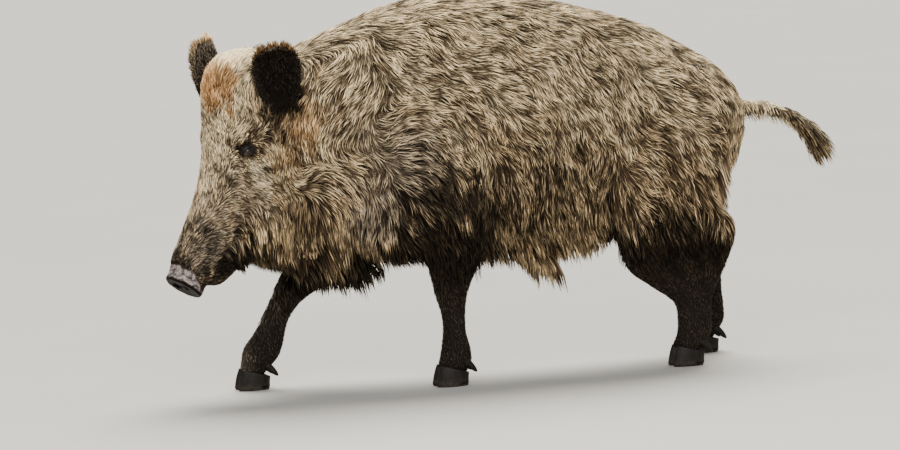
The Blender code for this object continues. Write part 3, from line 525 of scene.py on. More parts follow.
def leg_box(table, side):
    """Lowest and highest corner of a leg's sections."""
    rows = np.array(table)
    middle, half = side * rows[:, 4], rows[:, 5]
    low = (rows[:, 1].min(), (middle - half).min(), 0.0)
    high = (rows[:, 2].max(), (middle + half).max(), rows[:, 0].max())
    return low, high


def coronet(p, d, s, t):
    """Cut a leg off just below the upper rim of its hooves."""
    near = (np.hypot(p[:, 0] - s, p[:, 1] - t) < 0.08) & (p[:, 2] < 0.10)
    return np.where(near, carve(d, p[:, 2] - coronet_height(p[:, 0] - s) + 0.003, 0.006), d)


def tail_skin(p):
    """The tail's flesh as a run of cones."""
    d = np.ones(len(p))
    for (s0, z0, r0), (s1, z1, r1) in zip(TAIL, TAIL[1:]):
        d = blend(d, cone(p, (s0, 0, z0), (s1, 0, z1), r0, r1), 0.012)
    return d


def skin_distance(p):
    """The whole skin: trunk, four legs cut above the hooves, tail and head, run together."""
    d = trunk_skin(p)
    for table, side in LEGS:
        leg = only_near(p, *leg_box(table, side), lambda q: leg_skin(q, table, side))
        d = blend(d, leg, 0.03)
    for s, t in FOOT.values():
        d = coronet(p, d, s, t)
    d = blend(d, only_near(p, (-0.71, -0.02, 0.41), (-0.53, 0.02, 0.50), tail_skin), 0.02)
    d = blend(d, only_near(p, (0.24, -0.10, 0.18), (0.66, 0.20, 0.70), head_skin), 0.05)
    return with_lids(p, d)


def gradient(distance, p, h=0.0006):
    """Slope of a distance function, from four points at the corners of a small tetrahedron."""
    total = np.zeros_like(p)
    for corner in ((1, -1, -1), (-1, -1, 1), (-1, 1, -1), (1, 1, 1)):
        e = np.array(corner, float)
        total += e * distance(p + h * e)[:, None]
    return total / (4 * h)


def settle_on(distance, p, rounds=2, limit=0.002):
    """Points moved onto a surface by Newton steps along its slope."""
    for _ in range(rounds):
        g = gradient(distance, p)
        step = distance(p) / np.maximum((g * g).sum(1), 0.05)
        p = p - g * np.clip(step, -limit, limit)[:, None]
    return p


class Field:
    """A distance function kept on a grid, read between the grid's points in straight shares."""

    def __init__(self, distance, low, high, step):
        self.low, self.step = np.array(low), step
        self.n = np.ceil((np.array(high) - self.low) / step).astype(int) + 1
        axes = [self.low[i] + step * np.arange(self.n[i]) for i in range(3)]
        grid = np.stack(np.meshgrid(*axes, indexing="ij"), -1).reshape(-1, 3)
        rows = [distance(grid[i:i + 200000]) for i in range(0, len(grid), 200000)]
        self.v = np.concatenate(rows).reshape(self.n)
        slope = np.stack(np.gradient(self.v, step), -1)
        self.table = np.concatenate((self.v[..., None], slope), -1).reshape(-1, 4)

    def read(self, p):
        """Distance and outward direction at each point."""
        x = np.clip((p - self.low) / self.step, 0, self.n - 1.001)
        i = x.astype(int)
        f = x - i
        out = np.zeros((len(p), 4))
        for a, b, c in itertools.product((0, 1), repeat=3):
            share = np.abs(1 - a - f[:, 0]) * np.abs(1 - b - f[:, 1]) * np.abs(1 - c - f[:, 2])
            index = ((i[:, 0] + a) * self.n[1] + i[:, 1] + b) * self.n[2] + i[:, 2] + c
            out += share[:, None] * self.table[index]
        return out[:, 0], unit(out[:, 1:])


def net(field):
    """Points and four-sided faces of the zero surface: one point in each crossed cell."""
    v, n = field.v, field.n
    total = np.zeros((*(n - 1), 3))
    count = np.zeros(n - 1)
    for *a, axis in itertools.product((0, 1), (0, 1), (0, 1), range(3)):
        if a[axis]:
            continue
        b = [a[e] + (e == axis) for e in range(3)]
        va, vb = (v[tuple(slice(at[e], n[e] - 1 + at[e]) for e in range(3))] for at in (a, b))
        cross = (va < 0) != (vb < 0)
        t = np.where(cross, va / np.where(cross, va - vb, 1), 0)
        for e in range(3):
            total[..., e] += np.where(cross, a[e] + (t if e == axis else 0), 0)
        count += cross
    used = count > 0
    index = -np.ones(used.shape, int)
    index[used] = np.arange(used.sum())
    cells = np.stack(np.nonzero(used), 1)
    points = field.low + field.step * (cells + total[used] / count[used][:, None])
    faces = []
    inside = v < 0
    for axis in range(3):
        o = [e for e in range(3) if e != axis]
        first, second = [slice(1, -1)] * 3, [slice(1, -1)] * 3
        first[axis], second[axis] = slice(0, -1), slice(1, None)
        a, b = inside[tuple(first)], inside[tuple(second)]
        for turned, hit in ((False, a & ~b), (True, ~a & b)):
            c = np.stack(np.nonzero(hit), 1)
            c[:, o[0]] += 1
            c[:, o[1]] += 1
            ring = []
            for x, y in ((0, 0), (-1, 0), (-1, -1), (0, -1)):
                k = c.copy()
                k[:, o[0]] += x
                k[:, o[1]] += y
                ring.append(index[k[:, 0], k[:, 1], k[:, 2]])
            ring = np.stack(ring, 1)
            faces.append(ring[:, ::-1] if turned == (axis != 1) else ring)
    return points, np.concatenate(faces)


# ------------------------------------------------------------------ meshes
def fill_mesh(name, points, faces_by_size, smooth=True):
    """A mesh from world points and arrays of faces, one array for each number of corners."""
    mesh = bpy.data.meshes.new(name)
    mesh.vertices.add(len(points))
    mesh.vertices.foreach_set("co", np.ascontiguousarray(points, np.float32).ravel())
    loops = np.concatenate([f.ravel() for f in faces_by_size])
    sizes = np.concatenate([np.full(len(f), f.shape[1]) for f in faces_by_size])
    mesh.loops.add(len(loops))
    mesh.loops.foreach_set("vertex_index", loops.astype(np.int32))
    mesh.polygons.add(len(sizes))
    starts = np.concatenate(((0,), np.cumsum(sizes)[:-1]))
    mesh.polygons.foreach_set("loop_start", starts.astype(np.int32))
    mesh.update(calc_edges=True)
    mesh.polygons.foreach_set("use_smooth", np.full(len(sizes), smooth))
    return mesh


def add_object(name, data):
    """An object at the origin, in the scene."""
    obj = bpy.data.objects.new(name, data)
    bpy.context.scene.collection.objects.link(obj)
    return obj


def place(name, mesh, material):
    """An object at the origin that rides on the one body."""
    obj = add_object(name, mesh)
    mesh.materials.append(material)
    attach(obj, "root")
    return obj


def keep_colour(mesh, name, values):
    """Four numbers at each point, under a name that the material reads."""
    layer = mesh.attributes.new(name, "FLOAT_COLOR", "POINT")
    layer.data.foreach_set("color", np.ascontiguousarray(values, np.float32).ravel())


def refine(points, faces, near):
    """Split the faces that near picks into four, with the faces round them fitted on."""
    mesh = fill_mesh("net", points, [faces])
    bm = bmesh.new()
    bm.from_mesh(mesh)
    for test in near:
        bm.faces.ensure_lookup_table()
        picked = test(np.array([f.calc_center_median() for f in bm.faces]))
        edges = {e for f, hit in zip(bm.faces, picked) if hit for e in f.edges}
        bmesh.ops.subdivide_edges(bm, edges=list(edges), cuts=1, use_grid_fill=True)
    bmesh.ops.triangulate(bm, faces=[f for f in bm.faces if len(f.verts) > 4])
    bm.to_mesh(mesh)
    bm.free()
    points = np.empty(3 * len(mesh.vertices), np.float32)
    corners, starts, sizes = (np.empty(n, np.int32) for n in (len(mesh.loops), *2 * (len(mesh.polygons),)))
    mesh.vertices.foreach_get("co", points)
    mesh.loops.foreach_get("vertex_index", corners)
    mesh.polygons.foreach_get("loop_start", starts)
    mesh.polygons.foreach_get("loop_total", sizes)
    bpy.data.meshes.remove(mesh)
    by_size = [corners[starts[sizes == n][:, None] + np.arange(n)] for n in (3, 4)]
    return points.reshape(-1, 3).astype(float), by_size


# ------------------------------------------------------------------ markings
DARK, PALE, RUST, GREY = range(4)
UNDER_EYE = (0.126, 0.078, -0.011)  # two places in the head's own terms
FOREHEAD = (0.015, 0.0, 0.085)
# Patches of the coat under the mask they raise, each with its place, reach and strength.  On the
# head the place is along, beside and above the head's line; on the body it is s, distance from
# the midline and z.
HEAD_PATCHES = {
    DARK: (
        # the patches above and round the eyes are dark hair, darkened further as painted shade under the
        # brow
        (0.061, 0.104, 0.001, 0.020, 0.75), (0.104, 0.060, 0.024, 0.0125, 0.95),
        (0.093, 0.071, 0.018, 0.0155, 0.98), (0.090, 0.088, 0.006, 0.0135, 0.95),
        (0.112, 0.053, 0.023, 0.0090, 0.7), (0.120, 0.058, 0.014, 0.0060, 0.85),
        (0.099, 0.068, 0.005, 0.0100, 0.85), (0.026, 0.098, 0.002, 0.030, 0.8),
        (0.182, 0.038, 0.016, 0.020, 0.35), (0.345, 0.000, 0.035, 0.028, 0.85),
        (0.320, 0.045, -0.020, 0.050, 0.55), (0.290, 0.010, 0.030, 0.030, 0.45),
        (0.306, 0.044, -0.036, 0.024, 0.95), (0.334, 0.035, -0.034, 0.030, 0.9),
        (0.296, 0.046, -0.058, 0.036, 1.0), (0.278, 0.050, -0.080, 0.042, 1.0),
        (0.256, 0.055, -0.100, 0.034, 0.95), (0.335, 0.000, -0.070, 0.040, 0.95),
        # the patches low on the jaw and on the throat in the rows below are dark hair, darkened further as
        # painted shade under the jaw
        (0.245, 0.050, -0.125, 0.045, 0.8), (0.230, 0.030, -0.150, 0.045, 0.95),
        (0.182, 0.036, 0.014, 0.014, 0.45), (0.190, 0.108, -0.085, 0.020, 0.45),
        (0.170, 0.060, -0.190, 0.060, 0.8), (0.150, 0.000, -0.210, 0.070, 1.0),
        (0.318, 0.042, -0.044, 0.036, 1.0), (0.167, 0.120, -0.080, 0.017, 0.6),
        (0.168, 0.134, -0.106, 0.021, 0.8), (0.192, 0.129, -0.134, 0.023, 0.85),
        (0.227, 0.114, -0.143, 0.024, 0.85), (0.258, 0.097, -0.140, 0.026, 0.95),
        (0.278, 0.080, -0.145, 0.030, 1.0),
    ),
    PALE: (
        (-0.065, 0.000, 0.070, 0.050, 1.0), (-0.030, 0.060, 0.060, 0.030, 0.7),
        (0.100, 0.000, 0.045, 0.060, 0.55), (0.170, 0.000, 0.030, 0.050, 0.45),
        (0.150, 0.070, -0.040, 0.030, 0.45), (0.266, 0.047, -0.010, 0.011, 0.8),
        (0.100, 0.030, 0.050, 0.034, 0.6), (0.150, 0.040, 0.030, 0.026, 0.5),
        (0.140, 0.130, -0.070, 0.014, 0.8), (*UNDER_EYE, 0.022, 1.0),
    ),
    RUST: (
        (0.018, 0.010, 0.085, 0.040, 1.0), (0.000, 0.130, -0.040, 0.050, 0.6),
        (0.080, 0.110, -0.040, 0.030, 0.4), (0.242, 0.138, -0.188, 0.032, 0.8),
    ),
    GREY: (
        (*UNDER_EYE, 0.022, 0.5), (0.305, 0.030, 0.000, 0.050, 0.75), (0.250, 0.030, 0.020, 0.040, 0.45),
        (0.180, 0.060, -0.020, 0.050, 0.35),
    ),
}
BODY_PATCHES = {
    DARK: (
        (0.130, 0.182, 0.372, 0.044, 0.95), (0.095, 0.182, 0.385, 0.040, 0.95),
        (0.045, 0.178, 0.375, 0.042, 0.95), (0.172, 0.175, 0.350, 0.036, 0.9),
        (0.030, 0.160, 0.310, 0.045, 1.0), (-0.020, 0.155, 0.300, 0.032, 1.0),
        (0.080, 0.180, 0.360, 0.044, 0.95), (0.030, 0.172, 0.350, 0.044, 0.92),
        (-0.005, 0.165, 0.335, 0.042, 0.95), (0.180, 0.172, 0.330, 0.035, 0.85),
        (0.115, 0.165, 0.285, 0.058, 1.0), (0.110, 0.175, 0.320, 0.036, 1.0),
        (0.065, 0.165, 0.300, 0.040, 1.0), (0.155, 0.165, 0.305, 0.042, 1.0),
        (0.060, 0.150, 0.265, 0.048, 1.0), (0.155, 0.150, 0.265, 0.048, 1.0),
        (-0.005, 0.140, 0.285, 0.034, 1.0), (0.200, 0.140, 0.265, 0.045, 1.0),
        (0.250, 0.060, 0.240, 0.055, 1.0), (0.310, 0.030, 0.225, 0.046, 1.0),
        (-0.100, 0.165, 0.390, 0.060, 0.6), (-0.130, 0.160, 0.340, 0.055, 0.65),
        (-0.070, 0.150, 0.310, 0.050, 0.7), (-0.030, 0.160, 0.340, 0.050, 0.6),
        (-0.010, 0.170, 0.380, 0.050, 0.45), (-0.200, 0.160, 0.360, 0.050, 0.5),
        (-0.160, 0.170, 0.440, 0.045, 0.35), (-0.180, 0.130, 0.300, 0.050, 0.5),
        # the wide patch low on the flank just over the belly, second on the next line, is painted shade
        # under the barrel
        (-0.280, 0.150, 0.310, 0.050, 0.5), (-0.110, 0.120, 0.265, 0.090, 0.45),
        (-0.375, 0.160, 0.330, 0.060, 0.5), (-0.350, 0.160, 0.300, 0.050, 0.8),
        (0.070, 0.170, 0.400, 0.040, 0.25), (0.350, 0.050, 0.228, 0.032, 1.0),
        (0.370, 0.030, 0.250, 0.040, 0.9), (0.455, 0.035, 0.270, 0.045, 0.95),
        (0.420, 0.020, 0.270, 0.045, 0.8), (-0.720, 0.000, 0.400, 0.050, 0.9),
    ),
    PALE: (
        # painted highlight: paler hair along the top of the tail, where the light from above falls
        (-0.610, 0.000, 0.500, 0.040, 0.9),
    ),
    GREY: (
        (0.235, 0.160, 0.350, 0.060, 0.7), (0.165, 0.182, 0.430, 0.075, 0.55),
    ),
}


def both_sides(p):
    """Places with the distance from the midline instead of left and right."""
    return np.stack((p[:, 0], np.abs(p[:, 1]), p[:, 2]), -1)


def paint(masks, mask, share):
    """Raise one mask to at least this share at each point."""
    masks[:, mask] = np.maximum(masks[:, mask], share)


def paint_patches(masks, p, q):
    """The patches of the body and the head, with wavering edges."""
    wobble = 1 + 0.35 * waves(p, 0.030, 5)
    for places, patches in ((q, HEAD_PATCHES), (both_sides(p), BODY_PATCHES)):
        for mask, rows in patches.items():
            for *place, reach, strength in rows:
                r = lengths(places - place) * wobble
                paint(masks, mask, strength * ramp(r, 1.5 * reach, 0.5 * reach))


def paint_mottle(masks, p, q, on_head):
    """Dark and pale by turns: a brindle along the trunk and a finer mottle on the cheeks."""
    trunk = ramp(p[:, 2], 0.34, 0.42) * (1 - on_head)
    brindle = waves(p * (0.6, 1, 1), 0.036, 9)
    paint(masks, DARK, 0.60 * ramp(brindle, 0.25, 0.95) * trunk)
    paint(masks, PALE, 0.50 * ramp(-brindle, 0.15, 0.90) * trunk)
    cheek = on_head * ramp(q[:, 0], -0.04, 0.03) * ramp(q[:, 0], 0.31, 0.26) * ramp(q[:, 2], 0.05, 0.00)
    cheek = cheek * ramp(lengths(q - UNDER_EYE), 0.026, 0.040)
    mottle = waves(p, 0.024, 10)
    paint(masks, DARK, 0.50 * ramp(mottle, 0.25, 0.95) * cheek)
    paint(masks, PALE, 0.40 * ramp(-mottle, 0.20, 0.90) * cheek)


def paint_legs(masks, p, body):
    """The dark legs with uneven upper edges, and their shins, which turn a little grey towards the ground.
    """
    s, z = p[:, 0], p[:, 2]
    edge = z + 0.020 * waves(p, 0.040, 6)
    hind = ramp(edge + 0.035 * ramp(s, -0.42, -0.47), 0.335, 0.280) * ramp(s, -0.17, -0.24)
    fore = ramp(edge, 0.310, 0.245) * ramp(s, -0.09, -0.04)
    paint(masks, DARK, np.max((hind, fore, ramp(z, 0.22, 0.19)), 0) * body)
    shin = ramp(z, 0.24, 0.13)
    masks[:, DARK] *= 1 - 0.15 * shin
    paint(masks, GREY, shin)


def paint_top_light(masks, p, q, on_head):
    """Painted light: paler hair on the upper half of the body and on the brow, where the light from above
    falls.
    """
    high = p[:, 2] + 0.04 * waves(p, 0.12, 8)
    paint(masks, PALE, 0.40 * ramp(high, 0.40, 0.57) * (1 - on_head))
    paint(masks, PALE, on_head * 0.45 * ramp(q[:, 2], -0.02, 0.03) * ramp(q[:, 0], 0.24, 0.18))


def paint_cups(masks, p):
    """Black hair in the cup of each ear, behind a line along its front edge."""
    for side in (1, -1):
        rise, across, deep = ear_terms(p, side)
        inside = ramp(rise, -0.012, 0.004) * ramp(rise, 0.075, 0.060) * ramp(np.abs(across), 0.050, 0.036)
        inside = inside * ramp(deep, -0.045, -0.032) * ramp(deep, 0.010, 0.000)
        line = behind_line(rise, across) + 0.005 * waves(p, 0.014, 9)
        paint(masks, DARK, inside * ramp(line, -0.048, -0.030))


def masks_at(p):
    """Dark, pale, rust and grey shares at each point; dark and rust leave less for pale."""
    masks = np.zeros((len(p), 4))
    q = both_sides(to_head(p))
    on_head = ramp(p[:, 0], 0.42, 0.46)
    paint_patches(masks, p, q)
    paint_mottle(masks, p, q, on_head)
    paint_legs(masks, p, 1 - on_head)
    # painted light from above on the upper body and the brow
    paint_top_light(masks, p, q, on_head)
    paint_cups(masks, p)
    masks[:, PALE] *= (1 - masks[:, DARK]) * (1 - 0.85 * masks[:, RUST])
    masks[:, RUST] *= 1 - 0.8 * masks[:, DARK]
    return masks


def waves(p, size, seed, count=7):
    """A smooth uneven value near -1 to 1: a sum of sine waves in set directions."""
    rng = np.random.default_rng(seed)
    total = np.zeros(len(p))
    for _ in range(count):
        k = unit(rng.normal(size=3)) * 2 * math.pi / size * rng.uniform(0.6, 1.5)
        total += np.sin(p @ k + rng.uniform(0, 2 * math.pi))
    return total / math.sqrt(count / 2) * 0.7


# ------------------------------------------------------------------ the lie of the coat
# Place and direction of the hair, three numbers each, in head terms on the head and animal terms
# elsewhere.
BODY_LIE = (
    (0.30, 0.00, 0.70, -1.0, 0.1, 0.0), (0.10, 0.00, 0.75, -1.0, 0.1, 0.0),
    (-0.10, 0.00, 0.74, -1.0, 0.2, -0.1), (-0.30, 0.00, 0.69, -1.0, 0.2, -0.3),
    (-0.48, 0.00, 0.60, -0.8, 0.2, -0.6), (-0.54, 0.05, 0.46, -0.2, 0.3, -1.0),
    (0.29, 0.05, 0.68, -1.0, 0.3, -0.1), (0.15, 0.10, 0.69, -0.9, 0.3, -0.2),
    (0.10, 0.13, 0.65, -0.5, 0.2, -0.8), (0.20, 0.13, 0.64, -0.4, 0.2, -0.9),
    (0.26, 0.12, 0.62, 0.4, 0.0, -0.9), (0.29, 0.13, 0.58, 0.5, -0.1, -0.8),
    (0.24, 0.15, 0.57, 0.7, -0.1, -0.7), (0.34, 0.13, 0.56, 0.3, 0.0, -1.0),
    (0.27, 0.16, 0.49, 0.6, -0.1, -0.8), (0.13, 0.16, 0.58, -1.0, 0.3, -0.1),
    (0.18, 0.18, 0.50, -0.9, 0.2, 0.5), (0.10, 0.17, 0.52, -1.0, 0.3, -0.2),
    (0.05, 0.17, 0.49, -0.5, 0.2, -0.8), (-0.04, 0.12, 0.67, -0.7, 0.2, -0.7),
    (-0.03, 0.15, 0.61, -1.0, 0.3, -0.2), (-0.14, 0.16, 0.55, -0.6, 0.2, -0.7),
    (-0.24, 0.16, 0.51, -0.4, 0.2, -0.9), (-0.19, 0.16, 0.38, 0.0, 0.0, -1.0),
    (-0.09, 0.16, 0.34, 0.0, 0.0, -1.0), (-0.25, 0.14, 0.31, -0.2, 0.0, -1.0),
    (-0.34, 0.10, 0.62, -0.8, 0.3, -0.5), (-0.40, 0.16, 0.50, -0.9, 0.3, -0.4),
    (-0.41, 0.17, 0.38, -0.5, 0.2, -0.9), (0.13, 0.19, 0.42, -0.8, 0.3, -0.5),
    (0.09, 0.18, 0.34, -0.2, 0.0, -1.0), (0.01, 0.17, 0.35, 0.0, 0.0, -1.0),
    (0.28, 0.16, 0.44, -0.9, 0.3, -0.2), (0.24, 0.17, 0.38, -0.1, 0.1, -1.0),
    (0.25, 0.13, 0.29, 0.3, 0.0, -0.9), (-0.10, 0.00, 0.22, -1.0, 0.1, -0.4),
    (0.10, 0.00, 0.23, -1.0, 0.1, -0.4), (0.30, 0.00, 0.22, -0.5, 0.0, -0.9),
    (-0.30, 0.05, 0.26, -0.6, 0.0, -0.8), (-0.38, 0.14, 0.26, -0.3, 0.0, -1.0),
    (-0.45, 0.12, 0.15, 0.0, 0.0, -1.0), (-0.40, 0.12, 0.05, 0.1, 0.0, -1.0),
    (0.08, 0.12, 0.22, -0.1, 0.0, -1.0), (0.08, 0.12, 0.10, 0.0, 0.0, -1.0),
    (0.30, 0.10, 0.20, 0.0, 0.0, -1.0), (0.40, 0.10, 0.08, 0.0, 0.0, -1.0),
)
HEAD_LIE = (
    (0.34, 0.00, 0.04, -1.0, 0.0, 0.1), (0.23, 0.00, 0.03, -1.0, 0.1, 0.1),
    (0.25, 0.03, 0.02, -0.9, 0.3, -0.2), (0.17, 0.02, 0.03, -1.0, 0.1, 0.0),
    (0.09, 0.00, 0.05, -1.0, 0.1, 0.1), (0.01, 0.02, 0.08, -1.0, 0.2, 0.4),
    (-0.06, 0.00, 0.08, -1.0, 0.1, -0.1), (0.02, 0.08, 0.04, -0.7, -0.3, 0.6),
    (0.07, 0.07, 0.04, -1.0, 0.2, 0.1), (0.13, 0.08, -0.02, 0.2, 0.7, -0.7),
    (0.11, 0.12, -0.04, 0.8, 0.0, -0.4), (0.04, 0.17, -0.06, 0.8, -0.1, -0.3),
    (0.19, 0.08, -0.05, 0.0, 0.7, -0.7), (0.27, 0.05, -0.08, 0.7, 0.2, -0.5),
    (0.24, 0.09, -0.12, 0.8, 0.1, -0.4), (0.31, 0.00, -0.09, 0.2, 0.0, -1.0),
    (0.20, 0.00, -0.17, 0.5, 0.0, -0.9), (0.30, 0.05, -0.03, -0.6, 0.6, -0.5),
    (0.24, 0.05, -0.03, -0.5, 0.6, -0.6), (0.21, 0.12, -0.14, 1.0, 0.0, -0.1),
    (0.12, 0.15, -0.08, -0.9, 0.4, -0.3), (0.14, 0.18, -0.13, -0.2, 0.7, -0.7),
    (0.18, 0.13, -0.12, 0.9, 0.1, -0.3),
)
BODY_GUIDE = 0.045                  # how far a guide's pull reaches, on the body and on the head
HEAD_GUIDE = 0.028


def lie_guides():
    """Both tables for both sides, in animal terms: place, direction and reach of each guide."""
    guides = []
    for side in (1, -1):
        mirror = np.array((1, side, 1))
        guides += [(row[:3] * mirror, unit(row[3:] * mirror), BODY_GUIDE) for row in BODY_LIE]
        for row in HEAD_LIE:
            way = unit(row[3:] * mirror) @ HEAD_AXES
            guides.append((from_head(row[:3] * mirror), way, HEAD_GUIDE))
    return guides


GUIDES = lie_guides()


def lie_at(p):
    """Which way the hair lies: the guides' directions, each fading with distance."""
    total = np.tile((-0.010, 0.0, -0.012), (len(p), 1))
    for place, way, reach in GUIDES:
        share = 1 / (1 + ((p - place) ** 2).sum(1) / reach**2) ** 3
        total += share[:, None] * way
    return unit(total)


# Hair down the face: distance from the ear line, length.
FACE_HAIR = ((-0.07, 0.032), (0.0, 0.022), (0.06, 0.016), (0.12, 0.014), (0.20, 0.016), (0.28, 0.016),
             (0.33, 0.012), (0.36, 0.006))


def head_share(p, q):
    """How far each point belongs to the head: its front part and its cheeks, but not the chest."""
    x, y, w = both_sides(q).T
    front = ramp(p[:, 0], 0.30, 0.40) * ramp(y, 0.19, 0.13) * ramp(p[:, 2], 0.10, 0.20)
    cheeks = ramp(x, 0.02, 0.10) * ramp(y, 0.15, 0.11) * ramp(w, -0.21, -0.17) * (p[:, 0] > 0.2)
    return np.maximum(front, cheeks) * ramp(p[:, 0], 0.20, 0.30)


def sizes_at(p, up):
    """Length, width, spacing, height of the tip, hang and gathering of the tufts at each root."""
    q = to_head(p)
    (s, _, z), (x, _, w) = p.T, q.T
    head = head_share(p, q)
    leg = ramp(z, 0.30, 0.21) * (1 - head)
    trunk = (1 - head) * (1 - leg)
    jowl = ramp(w, -0.05, -0.13) * ramp(x, 0.30, 0.22)
    coat = 0.033 + 0.008 * ramp(z, 0.62, 0.72) + 0.018 * ramp(z, 0.44, 0.28) - 0.007 * ramp(s, -0.35, -0.50)
    face = 1.15 * through(x, *zip(*FACE_HAIR)) + 0.030 * jowl
    face = face * (0.45 + 0.55 * ramp(eye_gap(p), 0.014, 0.045))
    shin = 0.008 + 0.014 * ramp(z, 0.12, 0.27)
    length = coat * trunk + face * head + shin * leg
    spacing = (USUAL_SPACING + 0.0005 * ramp(s, -0.25, -0.40)) * trunk
    spacing = spacing + 0.0040 * leg + (0.0025 + 0.0013 * jowl) * head
    upright = head * bell(lengths(q - FOREHEAD), 0, 0.045)
    rise = length * (0.17 + 0.10 * head * ramp(x, 0.24, 0.14) + 0.35 * upright)
    return {"length": length, "width": 0.0009 + 0.030 * length + 0.0004 * head, "spacing": spacing,
            "rise": rise, "gather": 0.12 + 0.22 * ramp(length, 0.015, 0.045), "head": head, "leg": leg,
            "hang": 0.75 * ramp(up[:, 2], -0.05, -0.65) * (1 - 0.7 * leg) * ramp(x, 0.33, 0.28)}


# ------------------------------------------------------------------ growing tufts
def tangents(path):
    """Direction of each path at each of its points."""
    way = np.empty_like(path)
    way[:, 1:-1] = path[:, 2:] - path[:, :-2]
    way[:, 0] = path[:, 1] - path[:, 0]
    way[:, -1] = path[:, -1] - path[:, -2]
    return unit(way)


def grow(field, root, up, size, rng, steps):
    """Each path starts under the skin, steps along the lie and keeps its height over the skin;
    where the coat hangs it falls instead.  Its heading wavers with place and by chance."""
    n = len(root)
    turn = 0.26 * waves(root, 0.110, 11) + 0.22 * waves(root, 0.030, 12) + rng.normal(0, 0.14, n)
    turn = turn * (1 - 0.35 * size["head"]) * (1 - 0.5 * size["leg"])
    curl = rng.normal(0, 0.14, n) + 0.22 * waves(root, 0.050, 13)
    length = size["length"] * rng.uniform(0.75, 1.2, n)
    rise = size["rise"] * rng.uniform(0.45, 1.35, n)
    hang = size["hang"][:, None]
    path = np.empty((n, steps + 1, 3))
    path[:, 0] = root - up * SUNK
    p = root.copy()
    for k in range(1, steps + 1):
        u = k / steps
        way = lie_at(p)
        _, out = field.read(p)
        way = unit(way - out * (way * out).sum(1)[:, None])
        side = np.cross(out, way)
        angle = turn + curl * u
        way = np.cos(angle)[:, None] * way + np.sin(angle)[:, None] * side
        way = unit(way * (1 - hang * u) + hang * u * np.array((-0.10, 0, -1.0)) + 0.25 * hang * out)
        p = p + way * (length / steps)[:, None]
        gap, out = field.read(p)
        want = rise * u**0.8
        lift = np.where(size["hang"] > 0.3, np.maximum(want * 0.3 - gap, 0), want - gap)
        p = p + out * lift[:, None]
        path[:, k] = p
    return path


def gather_tips(path, root, strength, rng, share=11):
    """Draw the tips of neighbours together into locks; returns the paths and each lock's chance."""
    n = len(root)
    heads = rng.permutation(n)[:max(1, n // share)]
    tree = kdtree.KDTree(len(heads))
    for i, p in enumerate(root[heads].tolist()):
        tree.insert(p, i)
    tree.balance()
    lock = np.array([tree.find(p)[1] for p in root.tolist()])
    chance = rng.random(len(heads))
    steps = path.shape[1]
    pull = strength[:, None] * (np.arange(steps) / (steps - 1)) ** 1.4
    target = path[heads[lock]]
    far = lengths(target[:, 0] - path[:, 0])
    pull = pull * ramp(far, 0.030, 0.015)[:, None]
    return path + pull[..., None] * (target - path), chance[lock]


def tuft_mesh(name, path, up, width, grain, masks, chart, rng):
    """Closed three-sided tufts: a ring of three points at each path point but the last, the tip."""
    n, k = path.shape[0], path.shape[1] - 1
    way = tangents(path)[:, :k]
    side = unit(np.cross(up, way))
    out = np.cross(way, side)
    side = -side
    roll = rng.normal(0, 0.35, n)[:, None, None]
    side, out = np.cos(roll) * side + np.sin(roll) * out, np.cos(roll) * out - np.sin(roll) * side
    taper = np.interp(np.arange(k) / k, (0, 0.35, 0.75, 1), (0.75, 1.0, 0.62, 0.0))
    half = (width[:, None] * taper / 2)[..., None]
    stem = path[:, :k]
    ring = np.stack((stem - side * half, stem + side * half, stem + out * half * 0.8), 2)
    points = np.concatenate((ring.reshape(n, 3 * k, 3), path[:, -1:]), 1)
    each = 3 * k + 1
    quads, tris = [], [(0, 1, 2)]
    for r in range(k - 1):
        for i in range(3):
            j = (i + 1) % 3
            quads.append((3 * r + i, 3 * r + 3 + i, 3 * r + 3 + j, 3 * r + j))
    for i in range(3):
        tris.append((3 * (k - 1) + i, each - 1, 3 * (k - 1) + (i + 1) % 3))
    base = (np.arange(n) * each)[:, None, None]
    faces = [np.array(f)[None] + base for f in (quads, tris) if f]
    faces = [f.reshape(-1, f.shape[-1]) for f in faces]
    mesh = fill_mesh(name, to_world(points.reshape(-1, 3)), faces)
    along = np.concatenate((np.repeat(np.arange(k) / k, 3), (1.0,)))
    across = np.concatenate((np.tile((-1.0, 1.0, 0.0), k), (0.0,)))
    values = np.empty((n, each, 4))
    values[..., 0] = along
    values[..., 1] = grain[:, :1]
    values[..., 2] = grain[:, 1:2]
    values[..., 3] = across * 0.5 + 0.5
    keep_colour(mesh, "Grain", values.reshape(-1, 4))
    keep_colour(mesh, "Marks", np.repeat(masks, each, 0))
    low, high = chart.min(0), chart.max(0)
    spot = 0.008 + 0.98 * (chart - low) / (high - low)
    uv = spot[:, None] + np.stack((across * 0.5 + 0.5, along), -1) * 0.003
    loops = np.empty(len(mesh.loops), np.int32)
    mesh.loops.foreach_get("vertex_index", loops)
    layer = mesh.uv_layers.new(name="OFBake")
    layer.data.foreach_set("uv", uv.reshape(-1, 2)[loops].astype(np.float32).ravel())
    return mesh


def scatter(points, faces_by_size, spacing_of, rng):
    """Roots spread over faces, as many in each as its area over the square of the spacing."""
    tris, quads = faces_by_size
    all_tris = np.concatenate((tris, quads[:, :3], quads[:, [0, 2, 3]]))
    a, b, c = (points[all_tris[:, i]] for i in range(3))
    area = lengths(np.cross(b - a, c - a)) / 2
    normal = unit(np.cross(b - a, c - a))
    number = area / spacing_of((a + b + c) / 3, normal) ** 2
    total = np.cumsum(number)
    picks = np.arange(0.5, total[-1])
    index = np.searchsorted(total, picks + rng.uniform(-0.4, 0.4, len(picks)))
    index = np.clip(index, 0, len(all_tris) - 1)
    u, v = rng.random(len(index)), rng.random(len(index))
    over = u + v > 1
    u[over], v[over] = 1 - u[over], 1 - v[over]
    return a[index] + u[:, None] * (b - a)[index] + v[:, None] * (c - a)[index]


def wrap(x, a, b):
    """Unroll a round part: distance along it and the turn round its axis."""
    return np.stack((x, np.arctan2(a, b) * 0.16), -1)


